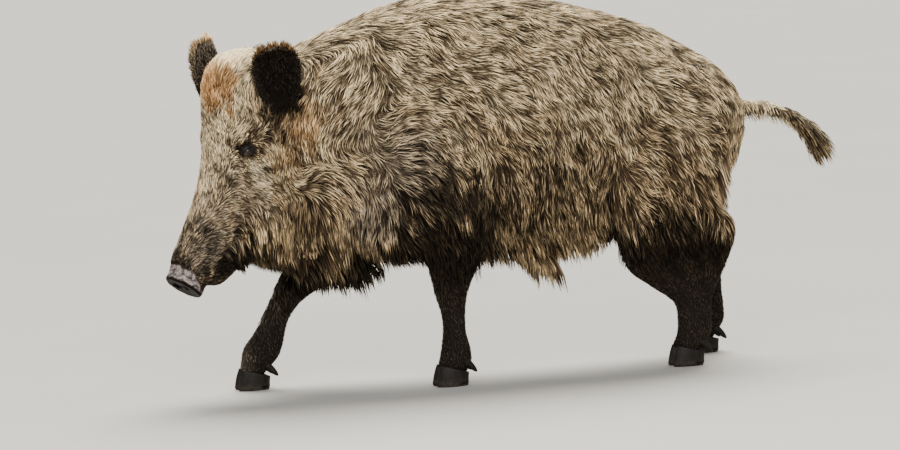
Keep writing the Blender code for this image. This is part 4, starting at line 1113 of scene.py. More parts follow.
def chart_at(kind, p):
    """Where each root lies when its part of the skin is unrolled flat."""
    if kind == "head":
        q = to_head(p)
        return wrap(q[:, 0], q[:, 1], q[:, 2] + 0.05)
    if kind == "leg":
        nearest = np.full(len(p), 1e9)
        flat = np.zeros((len(p), 2))
        for i, (table, side) in enumerate(LEGS):
            _, (back, front, _, off, _) = sections(table, p[:, 2])
            ds, dt = p[:, 0] - (back + front) / 2, p[:, 1] - side * off
            r = np.hypot(ds, dt)
            here = r < nearest
            turned = np.stack((np.arctan2(dt, ds) * 0.045 + 0.32 * i, p[:, 2]), -1)
            flat[here] = turned[here]
            nearest = np.minimum(nearest, r)
        return flat
    return wrap(p[:, 0], p[:, 1], p[:, 2] - 0.45)


# ------------------------------------------------------------------ materials
PALE_SHADE = 1.25                   # how bright the palest hair is kept, whatever its chance shade


def new_material(name):
    """An empty node material: itself, its tree and its Principled shader."""
    mat = bpy.data.materials.new(name)
    mat.use_nodes = True
    return mat, mat.node_tree, mat.node_tree.nodes["Principled BSDF"]


def put(tree, socket, value):
    """Link a value to a socket or set it there; a colour set there gets its fourth number."""
    if isinstance(value, bpy.types.NodeSocket):
        tree.links.new(value, socket)
    elif socket.type == "RGBA":
        socket.default_value = (*tuple(value)[:3], 1.0)
    else:
        socket.default_value = value


def node(tree, kind, **inputs):
    """A node with its plain settings set and its inputs linked or set."""
    made = tree.nodes.new(kind)
    for key, value in inputs.items():
        if hasattr(made, key):
            setattr(made, key, value)
        else:
            put(tree, made.inputs[key], value)
    return made


def maths(tree, operation, a, b):
    """The result of an operation on two values."""
    made = node(tree, "ShaderNodeMath", operation=operation)
    for socket, value in zip(made.inputs, (a, b)):
        put(tree, socket, value)
    return made.outputs[0]


def times(tree, a, b):
    """The product of two values."""
    return maths(tree, "MULTIPLY", a, b)


def plus(tree, a, b):
    """The sum of two values."""
    return maths(tree, "ADD", a, b)


def mixed(tree, share, a, b, blend_type="MIX"):
    """Two colours in shares."""
    made = node(tree, "ShaderNodeMix", data_type="RGBA", blend_type=blend_type)
    for i, value in ((0, share), (6, a), (7, b)):
        put(tree, made.inputs[i], value)
    return made.outputs[2]


def stretched(tree, value, a, b, low=0.0, high=1.0):
    """A value from a..b carried to low..high and held there."""
    made = node(tree, "ShaderNodeMapRange", interpolation_type="SMOOTHSTEP")
    for socket, each in zip(made.inputs, (value, a, b, low, high)):
        put(tree, socket, each)
    return made.outputs[0]


def noise(tree, vector, scale, detail=3.0, rough=0.55):
    """Even noise near 0.5."""
    made = node(tree, "ShaderNodeTexNoise", Vector=vector, Scale=scale, Detail=detail, Roughness=rough)
    return made.outputs["Fac"]


def object_place(tree):
    """Where each point lies on its object."""
    return node(tree, "ShaderNodeTexCoord").outputs["Object"]


def kept(tree, name):
    """What a mesh keeps at its points under a name: a colour, a fourth number and their mean."""
    return node(tree, "ShaderNodeAttribute", attribute_name=name).outputs


def three_of(tree, colour):
    """The three numbers of a colour."""
    return node(tree, "ShaderNodeSeparateColor", Color=colour).outputs


def grey_of(tree, value):
    """A colour whose three numbers are one value."""
    return node(tree, "ShaderNodeCombineColor", Red=value, Green=value, Blue=value).outputs[0]


def feed(tree, shader, colour, roughness, specular=0.5):
    """Give the shader its colour, its roughness and the strength of its shine."""
    put(tree, shader.inputs["Base Color"], colour)
    put(tree, shader.inputs["Roughness"], roughness)
    put(tree, shader.inputs["Specular IOR Level"], specular)


def press(tree, shader, height, strength, distance):
    """Raise the surface by a height, in its normals alone."""
    bump = node(tree, "ShaderNodeBump", Strength=strength, Distance=distance, Height=height)
    put(tree, shader.inputs["Normal"], bump.outputs[0])


def coat_colour_group(look):
    """Node group: the colour of hair from root to tip, with its chance shade and its markings."""
    tree = bpy.data.node_groups.new("Coat Colour", "ShaderNodeTree")
    for name in ("Along", "Chance", "Lock", "Marks", "Grey"):
        kind = "NodeSocketColor" if name == "Marks" else "NodeSocketFloat"
        tree.interface.new_socket(name=name, in_out="INPUT", socket_type=kind)
    tree.interface.new_socket(name="Color", in_out="OUTPUT", socket_type="NodeSocketColor")
    given = tree.nodes.new("NodeGroupInput").outputs
    along, chance, lock, marks, grey = (given[i] for i in range(5))
    dark, pale, rust = three_of(tree, marks)

    def from_root(start, end, root, tip):
        """Hair that turns from one colour to another between two shares of its length."""
        return mixed(tree, stretched(tree, along, start, end), root, tip)

    some = plus(tree, times(tree, chance, 0.6), times(tree, lock, 0.5))
    tipped = times(tree, stretched(tree, along, 0.30, 0.85), stretched(tree, some, 0.25, 0.75, 0.05, 1.0))
    hair = mixed(tree, tipped, from_root(0.05, 0.55, look.root_colour, look.body_colour), look.tip_colour)
    warm = from_root(0.0, 0.6, look.root_colour, look.rust_colour)
    hair = mixed(tree, times(tree, rust, 0.75), hair, warm)
    cream = from_root(0.10, 0.60, look.body_colour, look.cream_colour)
    some = stretched(tree, plus(tree, chance, times(tree, pale, 0.6)), 0.45, 0.80, 0.15, 0.95)
    hair = mixed(tree, times(tree, pale, some), hair, cream)
    ash = from_root(0.1, 0.8, look.root_colour, look.ash_colour)
    hair = mixed(tree, times(tree, grey, 0.8), hair, ash)
    worn = times(tree, stretched(tree, along, 0.4, 1.0), stretched(tree, chance, 0.6, 1.0, 0.1, 1.0))
    hair = mixed(tree, times(tree, dark, 0.96), hair, mixed(tree, worn, look.soot_colour, look.soot_tip))
    some = plus(tree, times(tree, chance, 0.5), times(tree, lock, 0.5))
    shade = grey_of(tree, stretched(tree, some, 0.05, 0.95, 0.45, 1.50))
    even = times(tree, stretched(tree, pale, 0.6, 1.0), 0.7)
    shade = mixed(tree, even, shade, (PALE_SHADE,) * 3)
    node(tree, "NodeGroupOutput", Color=mixed(tree, 1.0, hair, shade, "MULTIPLY"))
    return tree


def hair_colour(tree, group, **inputs):
    """The colour that the coat's group gives for these inputs."""
    return node(tree, "ShaderNodeGroup", node_tree=group, **inputs).outputs[0]


def coat_material(group):
    """Hair: the coat's colour, streaked along each tuft, with a soft shine."""
    mat, tree, shader = new_material("boar_coat")
    grain, marks = kept(tree, "Grain"), kept(tree, "Marks")
    along, chance, lock = three_of(tree, grain["Color"])
    strand = node(tree, "ShaderNodeCombineXYZ", X=times(tree, grain["Alpha"], 3.5),
                  Y=times(tree, along, 0.8), Z=times(tree, chance, 97.0))
    streak = noise(tree, strand.outputs[0], 1.0, 2.0)
    uneven = times(tree, maths(tree, "SUBTRACT", streak, 0.5), 0.7)
    hue = hair_colour(tree, group, Along=plus(tree, along, uneven), Chance=chance, Lock=lock,
                      Marks=marks["Color"], Grey=marks["Alpha"])
    light = grey_of(tree, stretched(tree, streak, 0.25, 0.75, 0.62, 1.30))
    colour = mixed(tree, 1.0, hue, light, "MULTIPLY")
    feed(tree, shader, colour, stretched(tree, chance, 0.0, 1.0, 0.48, 0.70), 0.05)
    return mat


def skin_material(group):
    """Skin under the coat: its markings in shade, bare grey hide on the snout and round the eyes."""
    mat, tree, shader = new_material("boar_skin")
    place_at = object_place(tree)
    marks = kept(tree, "Marks")
    snout, lid, wet = three_of(tree, kept(tree, "Bare")["Color"])
    fine = noise(tree, place_at, 420.0, 4.0, 0.65)
    hue = hair_colour(tree, group, Along=0.22, Chance=stretched(tree, fine, 0.35, 0.65),
                      Lock=noise(tree, place_at, 35.0), Marks=marks["Color"], Grey=marks["Alpha"])
    patches = stretched(tree, noise(tree, place_at, 110.0, 4.0, 0.6), 0.36, 0.62)
    hide = mixed(tree, patches, (0.030, 0.024, 0.023), (0.330, 0.280, 0.260))
    hide = mixed(tree, stretched(tree, fine, 0.50, 0.62, 0.0, 0.75), hide, (0.022, 0.017, 0.016))
    hide = mixed(tree, wet, hide, (0.006, 0.004, 0.004))
    colour = mixed(tree, lid, mixed(tree, snout, hue, hide), (0.008, 0.006, 0.0055))
    moist = maths(tree, "MAXIMUM", wet, lid)
    feed(tree, shader, colour, stretched(tree, moist, 0.0, 1.0, 0.75, 0.42),
         stretched(tree, lid, 0.0, 1.0, 0.03, 0.12))
    cells = node(tree, "ShaderNodeTexVoronoi", Vector=place_at, Scale=520.0, feature="DISTANCE_TO_EDGE")
    pores = times(tree, stretched(tree, cells.outputs["Distance"], 0.0, 0.3), snout)
    press(tree, shader, plus(tree, fine, pores), 0.55, 0.0006)
    return mat


def ear_material():
    """The ear's own skin: near black in the cup, dark grey outside."""
    mat, tree, shader = new_material("boar_ear")
    mottle = noise(tree, object_place(tree), 160.0, 4.0, 0.6)
    share = stretched(tree, mottle, 0.35, 0.7)
    outside = mixed(tree, share, (0.006, 0.005, 0.004), (0.024, 0.019, 0.016))
    inside = mixed(tree, share, (0.0020, 0.0016, 0.0014), (0.008, 0.006, 0.005))
    feed(tree, shader, mixed(tree, kept(tree, "Cup")["Fac"], outside, inside), 0.90, 0.02)
    press(tree, shader, mottle, 0.4, 0.0005)
    return mat


def drawn_out(tree, place_at, scale, detail):
    """Noise with a scale of its own along each axis."""
    return noise(tree, node(tree, "ShaderNodeMapping", Vector=place_at, Scale=scale).outputs[0], 1.0, detail)


def horn_material():
    """Hoof horn: dark, streaked down its length, ringed by growth and dusty at the ground."""
    mat, tree, shader = new_material("boar_horn")
    place_at = object_place(tree)
    streak = drawn_out(tree, place_at, (420.0, 420.0, 18.0), 3.0)
    ring = drawn_out(tree, place_at, (12.0, 12.0, 300.0), 2.0)
    height = node(tree, "ShaderNodeSeparateXYZ", Vector=place_at).outputs[2]
    colour = mixed(tree, stretched(tree, streak, 0.3, 0.7), (0.003, 0.0025, 0.002), (0.013, 0.010, 0.008))
    dust = times(tree, stretched(tree, height, 0.020, 0.0),
                 stretched(tree, noise(tree, place_at, 90.0), 0.35, 0.65))
    colour = mixed(tree, times(tree, dust, 0.35), colour, (0.080, 0.062, 0.045))
    feed(tree, shader, colour, stretched(tree, dust, 0.0, 1.0, 0.55, 0.85), 0.15)
    press(tree, shader, plus(tree, streak, ring), 0.5, 0.0006)
    return mat


def eye_material():
    """Dark brown iris round a wide pupil, a dark rim, the white's edge and a wet shine."""
    mat, tree, shader = new_material("boar_eye")
    gaze = kept(tree, "Gaze")["Fac"]
    fibre = noise(tree, object_place(tree), 700.0, 3.0)
    colour = mixed(tree, fibre, (0.014, 0.007, 0.004), (0.050, 0.024, 0.011))
    for start, end, ring in ((0.40, 0.34, (0.002, 0.002, 0.002)), (0.70, 0.80, (0.008, 0.005, 0.004)),
                             (0.90, 1.00, (0.060, 0.042, 0.036))):
        colour = mixed(tree, stretched(tree, gaze, start, end), colour, ring)
    feed(tree, shader, colour, 0.08, 0.35)
    return mat


def floor_material():
    """A plain pale floor with a faint unevenness."""
    mat, tree, shader = new_material("floor")
    cloud = noise(tree, object_place(tree), 1.4, 3.0)
    feed(tree, shader, mixed(tree, cloud, (0.30, 0.29, 0.27), (0.34, 0.33, 0.31)), 0.85)
    return mat


# ------------------------------------------------------------------ shared work
WORK = {}


def skin_work():
    """The skin's field and its finished points and faces, worked out once."""
    if "skin" not in WORK:
        field = Field(skin_distance, SKIN_LOW, SKIN_HIGH, GRID)
        points, faces = net(field)

        def head_near(c):
            q = to_head(c)
            return (q[:, 0] > -0.02) & (q[:, 2] > -0.2) & (np.abs(q[:, 1]) < 0.13) & (c[:, 0] > 0.30)

        def snout_near(c):
            return (to_head(c)[:, 0] > 0.29) & (c[:, 0] > 0.42) | (eye_gap(c) < 0.034)

        points, faces = refine(points, faces, (head_near, snout_near, lambda c: eye_gap(c) < 0.022))
        WORK["skin"] = (field, settle_on(skin_distance, points), faces)
    return WORK["skin"]


def shared_material(name, maker):
    """A material made once."""
    return bpy.data.materials.get(name) or maker()


def coat_group():
    """The colour group made once, from the scene's colours."""
    return bpy.data.node_groups.get("Coat Colour") or coat_colour_group(bpy.context.scene.boar_colours)


def coat_mat():
    """The hair's material made once."""
    return shared_material("boar_coat", lambda: coat_material(coat_group()))


# ------------------------------------------------------------------ where the coat grows
PIECES = (
    "coat_face", "coat_cheeks", "coat_neck_left", "coat_neck_right", "coat_shoulders_left",
    "coat_shoulders_right", "coat_barrel_left", "coat_barrel_right", "coat_rump_left",
    "coat_rump_right", "coat_fore_legs", "coat_hind_legs",
)
STEPS = {"coat_face": 2, "coat_cheeks": 2, "coat_fore_legs": 2, "coat_hind_legs": 2}  # elsewhere 3
EVENLY_DARK = 0.84                  # darker places than this are dark without paler tufts
# Where the ears' cups are kept clear of the head's hair, by its roots and by its tips: line along
# the front edge, half width, lowest and highest rise, deepest place and rim.
CUP_AT_ROOTS = (-0.026, 0.040, 0.008, 0.100, -0.034, 0.014)
CUP_AT_TIPS = (-0.028, 0.046, 0.010, 0.125, -0.027, 0.010)


def piece_at(p, size):
    """Which piece of the coat each root belongs to, as its place in PIECES."""
    s, t, _ = p.T
    q = to_head(p)
    side = (t < 0).astype(int)
    index = np.where(s > 0.24, 2, np.where(s > 0.06, 4, np.where(s > -0.22, 6, 8))) + side
    index = np.where(size["leg"] > 0.5, np.where(s > -0.15, 10, 11), index)
    cheeks = (q[:, 2] < -0.075) | (q[:, 0] < 0.02)
    return np.where(size["head"] > 0.5, np.where(cheeks, 1, 0), index)


def bare_at(p):
    """Snout, lids and wet skin: the shares of bare hide at each point of the skin."""
    q = to_head(p)
    x, w = q[:, 0], q[:, 2]
    at_snout = (np.hypot(q[:, 1], w) < 0.10) & (x > 0.15)
    front = tip_forward(q)[:, 0]
    edge = 0.002 * waves(p, 0.020, 31) + 0.017 * ramp(w, -0.020, 0.018)
    snout = ramp(front + edge, 0.373, 0.379) * at_snout
    lid = np.zeros(len(p))
    wet = ramp(front, 0.3795, 0.3820) * at_snout
    for centre, slit, rise, out in EYES:
        v = p - centre
        r = lengths(v)
        a, b = v @ slit, v @ rise
        arch = np.sqrt(np.clip(1 - (a / (SLIT_HALF * 1.25)) ** 2, 0, 1))
        rim = np.abs(b) - (OPEN_UP + 0.0016) * arch
        outer = ramp(v @ out, 0.0, 0.004)
        hood = ramp(r, EYE_RADIUS + 0.0055, EYE_RADIUS + 0.0030) * ramp(b, -0.001, 0.0015) * outer
        tear = ramp(np.abs(b - 0.9 * (a + SLIT_HALF)), 0.0036, 0.0012)
        tear = tear * ramp(a, -0.009, -0.012) * ramp(a, -0.024, -0.017)
        rim = ramp(rim, 0.0022, 0.0) * ramp(r, 0.022, 0.016) * outer
        lid = np.max((lid, rim, 0.85 * hood, tear), 0)
    lip = ramp(np.abs(mouth_gap(x, w)), 0.005, 0.002) * at_snout
    lip = lip * ramp(x, 0.255, 0.285) * ramp(x, 0.372, 0.36)
    return np.stack((snout, np.maximum(lid, 0.8 * lip), np.maximum(wet, 0.5 * lip), np.ones(len(p))), -1)


def coat_roots(look):
    """Every root of the coat: place, way out, sizes and piece, worked out once."""
    if "roots" not in WORK:
        rng = np.random.default_rng(look.seed)
        field, points, faces = skin_work()

        def spacing(middle, normal):
            return sizes_at(middle, normal)["spacing"] * look.spacing / USUAL_SPACING

        root = scatter(points, faces, spacing, rng)
        _, up = field.read(root)
        gap = eye_gap(root)
        bare = bare_at(root)
        drop = gap < EYE_RADIUS + 0.0010
        drop |= bare[:, 0] > rng.uniform(0.15, 0.85, len(root))
        drop |= (bare[:, 1] > 0.3) & (gap < 0.030)
        drop |= (root[:, 2] < 0.060) & (up[:, 2] < -0.55)
        for s, t in FOOT.values():
            rim = coronet_height(root[:, 0] - s) + 0.001
            drop |= (np.hypot(root[:, 0] - s, root[:, 1] - t) < 0.06) & (root[:, 2] < rim)
        drop |= in_cup(root, *CUP_AT_ROOTS)
        root, up = root[~drop], up[~drop]
        size = sizes_at(root, up)
        WORK["roots"] = (root, up, size, piece_at(root, size))
    return WORK["roots"]


def dither(masks, root, rng):
    """Make part-dark places of darker and paler tufts side by side."""
    chance = 0.6 * rng.random(len(root)) + 0.4 * (0.5 + 0.5 * waves(root, 0.022, 52))
    part = masks[:, DARK]
    uneven = np.clip(part + 2.6 * part * (1 - part) * (2 * chance - 1), 0, 1)
    masks[:, DARK] = np.where(part > EVENLY_DARK, part, uneven)


def in_cup(p, line, half, low, high, deepest, rim):
    """Whether each point lies in the cup of an ear, where no hair of the head shows."""
    inside = np.zeros(len(p), bool)
    for side in (1, -1):
        v, u, deep = ear_terms(p, side)
        within = (np.abs(u) < half) & (v > low) & (v < high) & (deep > deepest) & (deep < rim)
        inside |= within & (behind_line(v, u) > line)
    return inside


def finish_tufts(name, look, root, up, size, kind, steps, seed):
    """Grow the tufts of one piece, draw them into locks and put them in place."""
    rng = np.random.default_rng(look.seed + seed)
    field = skin_work()[0]
    size = dict(size)
    for key in ("length", "rise"):
        size[key] = size[key] * look.length
    path = grow(field, root, up, size, rng, steps)
    path, lock = gather_tips(path, root, size["gather"], rng)
    clear = ~in_cup(path[:, -1], *CUP_AT_TIPS) & ~in_cup(path[:, -2], *CUP_AT_TIPS)
    path, lock, root = path[clear], lock[clear], root[clear]
    size = {key: value[clear] for key, value in size.items()}
    lock = np.clip(0.55 * lock + 0.45 * (0.5 + 0.5 * waves(root, 0.045, 51)), 0, 1)
    grain = np.stack((rng.random(len(root)), lock), -1)
    flat = path.reshape(-1, 3)
    _, out = field.read(flat)
    width = size["width"] * rng.uniform(0.7, 1.3, len(root))
    masks = masks_at(root)
    dither(masks, root, rng)
    ups = out.reshape(path.shape)[:, :steps]
    mesh = tuft_mesh(name, path, ups, width, grain, masks, chart_at(kind, root), rng)
    return place(name, mesh, coat_mat())


def grow_pieces(look):
    """The short coat's pieces from the shared roots."""
    root, up, size, piece = coat_roots(look)
    for i, name in enumerate(PIECES):
        here = piece == i
        kind = "head" if name in PIECES[:2] else "leg" if name.endswith("legs") else "trunk"
        part = {key: value[here] for key, value in size.items()}
        made = finish_tufts(name, look, root[here], up[here], part, kind, STEPS.get(name, 3), i + 1)


# Long hair that hangs free: place, reach along s, t and z, length, spacing.
FRINGES = (
    ((-0.080, 0.000, 0.255), (0.055, 0.120, 0.070), 0.125, 0.0042),
    ((-0.140, 0.000, 0.260), (0.170, 0.180, 0.065), 0.076, 0.0062),
    ((-0.010, 0.000, 0.260), (0.120, 0.160, 0.060), 0.070, 0.0062),
    ((0.290, 0.000, 0.260), (0.110, 0.090, 0.065), 0.078, 0.0048),
    ((0.015, 0.130, 0.300), (0.045, 0.040, 0.040), 0.045, 0.0055),
    ((0.015, -0.130, 0.300), (0.045, 0.040, 0.040), 0.045, 0.0055),
    ((-0.270, 0.130, 0.260), (0.040, 0.050, 0.055), 0.045, 0.0050),
    ((-0.270, -0.130, 0.260), (0.040, 0.050, 0.055), 0.045, 0.0050),
    ((-0.485, 0.110, 0.375), (0.045, 0.065, 0.060), 0.062, 0.0050),
    ((-0.485, -0.110, 0.375), (0.045, 0.065, 0.060), 0.062, 0.0050),
    ((0.408, 0.020, 0.330), (0.110, 0.110, 0.075), 0.050, 0.0044),
    ((0.460, 0.040, 0.290), (0.085, 0.070, 0.055), 0.034, 0.0042),
)


def fringe_at(p):
    """The strongest fringe at each point: its share, length and spacing."""
    best = np.zeros(len(p))
    length, spacing = np.full(len(p), 0.04), np.full(len(p), 1.0)
    for place_at, reach, long, apart in FRINGES:
        r = lengths((p - np.array(place_at)) / np.array(reach))
        share = ramp(r, 1.0, 0.5)
        more = share > best
        best = np.where(more, share, best)
        length = np.where(more, long, length)
        spacing = np.where(more, apart / np.sqrt(np.maximum(share, 0.02)), spacing)
    return best, length, spacing


def grow_fringes(look):
    """The long hair of the throat, chest, belly, flanks and the backs of the thighs."""
    rng = np.random.default_rng(look.seed + 40)
    field, points, faces = skin_work()

    def spacing(middle, normal):
        best, _, apart = fringe_at(middle)
        return np.where((best > 0.03) & (normal[:, 2] < 0.55), apart, 9.0)

    root = scatter(points, faces, spacing, rng)
    _, up = field.read(root)
    best, length, _ = fringe_at(root)
    n = len(root)
    size = {"length": length * rng.uniform(0.6, 1.15, n) * (0.6 + 0.4 * best), "rise": np.full(n, 0.010),
            "hang": np.full(n, 0.9), "gather": np.full(n, 0.55), "head": np.zeros(n), "leg": np.zeros(n)}
    size["width"] = 0.0012 + 0.045 * size["length"]
    made = finish_tufts("coat_fringe", look, root, up, size, "trunk", 4, 41)
    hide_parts("belly_brush")


# ------------------------------------------------------------------ ears
def ear_axes(side):
    """Root, way to the tip, way across and way the cup faces, in animal terms."""
    root, axis, face = (np.array(row) for row in EARS[side])
    axis = unit(axis)
    face = unit(face - axis * (face @ axis))
    return from_head(root), axis @ HEAD_AXES, np.cross(axis, face) @ HEAD_AXES, face @ HEAD_AXES


def ear_terms(p, side):
    """Rise, distance across and depth of points in an ear's own terms."""
    root, axis, across, face = ear_axes(side)
    v = p - root
    return v @ axis, v @ across, v @ face


def behind_line(rise, across):
    """How far a point of an ear lies behind the slanting line along the front of its cup."""
    return across + 0.9 * (rise - 0.020)


def ear_point(side, u, v, back):
    """A place on an ear: u across from -1 to 1, v up from the root, on its cup or its back.
    The cup's depth falls as the square of u and the back lies a thickness behind it."""
    root, axis, across, face = ear_axes(side)
    last = math.pi / 2 * 0.98
    rise = EAR_LENGTH * EAR_TRIM * np.where(v < 0, v, np.sin(np.clip(v, 0, 1) * last) / math.sin(last))
    width = through(np.clip(v, 0, 1), np.linspace(0, 1, len(EAR_HALF_WIDTHS)), EAR_HALF_WIDTHS) * EAR_TRIM
    cup = EAR_CUP[0] + (EAR_CUP[1] - EAR_CUP[0]) * v
    thick = EAR_THICK[0] + (EAR_THICK[1] - EAR_THICK[0]) * v
    deep = -cup * (1 - u * u) * (width / max(EAR_HALF_WIDTHS)) ** 0.5
    deep = deep - EAR_INSET - back * thick * 0.8 * (1 - 0.75 * u * u)
    deep = deep + 0.0012 * np.sin(5 * u + 2 * v) * (1 - u * u)
    return root + axis * rise[..., None] + across * (width * u)[..., None] + face * deep[..., None]


def grid_faces(rows, cols, flip=False, start=0):
    """Four-sided faces of a grid of points kept row by row."""
    a = start + (np.arange(rows - 1)[:, None] * cols + np.arange(cols - 1)).ravel()
    f = np.stack((a, a + 1, a + cols + 1, a + cols), 1)
    return f[:, ::-1] if flip else f


def build_ear(side, name):
    """One ear as a closed cup-shaped shell."""
    rows, cols = 40, 29
    across = np.sin(np.linspace(-1, 1, cols) * math.pi / 2)
    v, u = np.meshgrid(np.linspace(-0.10, 1.0, rows), across, indexing="ij")
    points = np.concatenate([ear_point(side, u, v, back).reshape(-1, 3) for back in (0.0, 1.0)])
    n = rows * cols
    tip_row = (rows - 1) * cols + np.arange(cols - 2, -1, -1)
    edge = np.concatenate((np.arange(cols), np.arange(1, rows) * cols + cols - 1, tip_row,
                           np.arange(rows - 2, 0, -1) * cols))
    nxt = np.roll(edge, -1)
    rim = np.stack((edge, nxt, nxt + n, edge + n), 1)
    faces = np.concatenate((grid_faces(rows, cols), grid_faces(rows, cols, True, n), rim[:, ::-1]))
    mesh = fill_mesh(name, to_world(points), outward(points, faces))
    inner = np.concatenate((1 - np.abs(u).ravel() ** 6, np.zeros(n)))
    keep_colour(mesh, "Cup", np.repeat(inner[:, None], 4, 1))
    made = place(name, mesh, shared_material("boar_ear", ear_material))
    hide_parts(name.replace("_skin", ""))


def ear_hair_places(kind, n, rng):
    """Chance places on an ear for its back, its rim or its cup: up it and across it."""
    v = rng.uniform(-0.05, 0.97, n)
    u = rng.uniform(-1, 1, n)
    if kind == "rim":
        v = rng.uniform(0.05, 1.0, n) ** 0.6
        u = np.where(v > 0.90, u, np.sign(u) * rng.uniform(0.80, 1.0, n))
    if kind == "cup":
        v = rng.uniform(-0.05, 0.90, n)
    return v, u


def ear_hair_heading(kind, v, u, axis, up_v, away, rng):
    """Which way the ear's hair points, how long it is and how far it stands off."""
    n, aside = len(v), away * np.abs(u)[:, None]
    if kind == "back":
        return up_v + 0.25 * aside, rng.uniform(0.006, 0.011, n), 0.22
    if kind == "cup":
        return up_v * 0.8 - aside * 0.5, rng.uniform(0.006, 0.012, n), 0.30
    tip = ramp(v, 0.5, 0.95)
    way = axis * (0.70 + 0.6 * tip)[:, None] + away * 0.60 * (1 - 0.6 * tip)[:, None]
    return way, rng.uniform(0.007, 0.013, n) + rng.uniform(0.002, 0.013, n) * tip, 0.10


def ear_hair_marks(kind, side, v, u, rng):
    """Black in the cup, grey-black on the back, and a rim that turns rusty towards the tip."""
    mask = np.zeros((len(v), 4))
    mask[:, DARK] = 1.0
    some = rng.random(len(v))
    if kind == "back":
        mask[:, DARK] = 0.70 + 0.22 * ramp(v, 0.55, 0.10) - 0.12 * (some < 0.25)
        mask[:, GREY] = 0.95
    if kind == "rim":
        tip = ramp(v, 0.55, 0.85)
        mask[:, RUST] = 0.9 * tip
        mask[:, DARK] = 1 - tip * np.where(some < 0.35, 0.50, 0.16)
        if side < 0:
            mask[:, DARK] = np.where(u < 0, 0.35, 0.8) - 0.3 * tip
            mask[:, PALE] = 0.35
    return mask


def ear_hair(look):
    """Short fur up the back of each ear, a longer fringe round its rim, and hair in its cup."""
    rng = np.random.default_rng(look.seed + 60)
    batches = []
    for side, (kind, n) in itertools.product((1, -1), EAR_HAIRS.items()):
        v, u = ear_hair_places(kind, n, rng)
        back = 0.0 if kind == "cup" else 1.0
        base = ear_point(side, u, v, back)
        up_v = unit(ear_point(side, u, v + 0.01, back) - base)
        up_u = unit(ear_point(side, u + 0.01, v, back) - base)
        _, axis, _, face = ear_axes(side)
        out = unit(np.cross(up_v, up_u))
        out = out * np.sign(out @ face * (1 if kind == "cup" else -1))[:, None]
        way, long, lift = ear_hair_heading(kind, v, u, axis, up_v, up_u * np.sign(u)[:, None], rng)
        way = unit(way + rng.normal(0, 0.16, (n, 3)))
        steps = np.arange(3) / 2
        path = base[:, None] - out[:, None] * 0.0008 + way[:, None] * steps[:, None] * long[:, None, None]
        path = path + out[:, None] * (lift * long[:, None] * steps[None] ** 1.3)[..., None]
        keep = ear_terms(path[:, -1], side)[0] < EAR_LENGTH * 1.05
        mask = ear_hair_marks(kind, side, v, u, rng)
        width = (0.0011 + 0.045 * long[keep]) * rng.uniform(0.7, 1.2, keep.sum())
        grain = rng.random((keep.sum(), 2))
        chart = np.stack((u * 0.05 + 0.12 * side, v * 0.128 + 0.2 * (kind == "cup")), -1)
        ups = np.repeat(out[keep][:, None], 2, 1)
        batches.append((path[keep], ups, width, grain, mask[keep], chart[keep]))
    mesh = tuft_mesh("coat_ears", *map(np.concatenate, zip(*batches)), rng)
    made = place("coat_ears", mesh, coat_mat())


# ------------------------------------------------------------------ tail
def tail_middle(u):
    """A place along the tail's middle line, from 0 at its root to 1 at its flesh's end, and its radius."""
    s, z, radius = (through(u, np.linspace(0, 1, len(TAIL)), column) for column in zip(*TAIL))
    return np.stack((s, np.zeros_like(u), z), -1), radius


def tail_path(tassel, u, way, out, base, rng):
    """Paths of the tail's hair: short and straight along its stem, long and falling in the tassel."""
    n = len(u)
    if not tassel:
        long = rng.uniform(0.012, 0.022, n)
        heading = unit(way + out * 0.09 + rng.normal(0, 0.05, (n, 3)))
        return base[:, None] + heading[:, None] * (np.arange(3) / 2 * long[:, None])[..., None], long
    long = rng.uniform(0.040, 0.075, n) * (0.55 + 0.45 * ramp(u, 0.5, 0.9))
    k = (np.arange(5) / 4)[:, None]
    heading = unit(way * 0.8 + out * 0.42 + rng.normal(0, 0.14, (n, 3)))
    bent = heading[:, None] * (k - 0.5 * k**2) + np.array((-0.45, 0.0, -1.0)) * (0.45 * k**2)
    return base[:, None] + bent * long[:, None, None], long


def grow_tail(look):
    """Short hair along the tail and the long tassel at its end."""
    rng = np.random.default_rng(look.seed + 80)
    batches = []
    for n, tassel in ((TAIL_HAIRS, False), (TASSEL_HAIRS, True)):
        u = rng.uniform(0.50, 1.0, n) if tassel else rng.uniform(0.02, 0.97, n)
        turn = rng.uniform(-math.pi, math.pi, n)
        middle, radius = tail_middle(u)
        ahead, behind = (tail_middle(np.clip(u + off, 0, 1))[0] for off in (0.03, -0.03))
        way = unit(ahead - behind)
        left = np.array((0.0, 1.0, 0.0))
        top = unit(np.cross(left, way))
        top = top * np.sign(top[:, 2:3])
        out = top * np.cos(turn)[:, None] + left * np.sin(turn)[:, None]
        path, long = tail_path(tassel, u, way, out, middle + out * (radius - 0.0012)[:, None], rng)
        mask = np.zeros((n, 4))
        # painted light and shade: the tail's upper side is paler and its underside darker, by which way each
        # hair faces the light from above
        above = ramp(np.cos(turn), -0.1, 0.6)
        mask[:, PALE] = above * ramp(u, 1.0, 0.7)
        mask[:, RUST] = 0.25 * (not tassel)
        mask[:, DARK] = 0.85 * (1 - above) if not tassel else np.where(rng.random(n) < 0.3, 0.35, 0.8)
        width = (0.0011 + 0.030 * long) * rng.uniform(0.7, 1.3, n)
        chart = np.stack((u * 0.2, turn * 0.02 + 0.2 * tassel), -1)
        ups = np.repeat(out[:, None], path.shape[1] - 1, 1)
        batches.append((path, ups, width, rng.random((n, 2)), mask, chart))
    for name, batch in zip(("coat_tail", "coat_tassel"), batches):
        mesh = tuft_mesh(name, *batch, rng)
        place(name, mesh, coat_mat())
    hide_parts("tail_tassel")


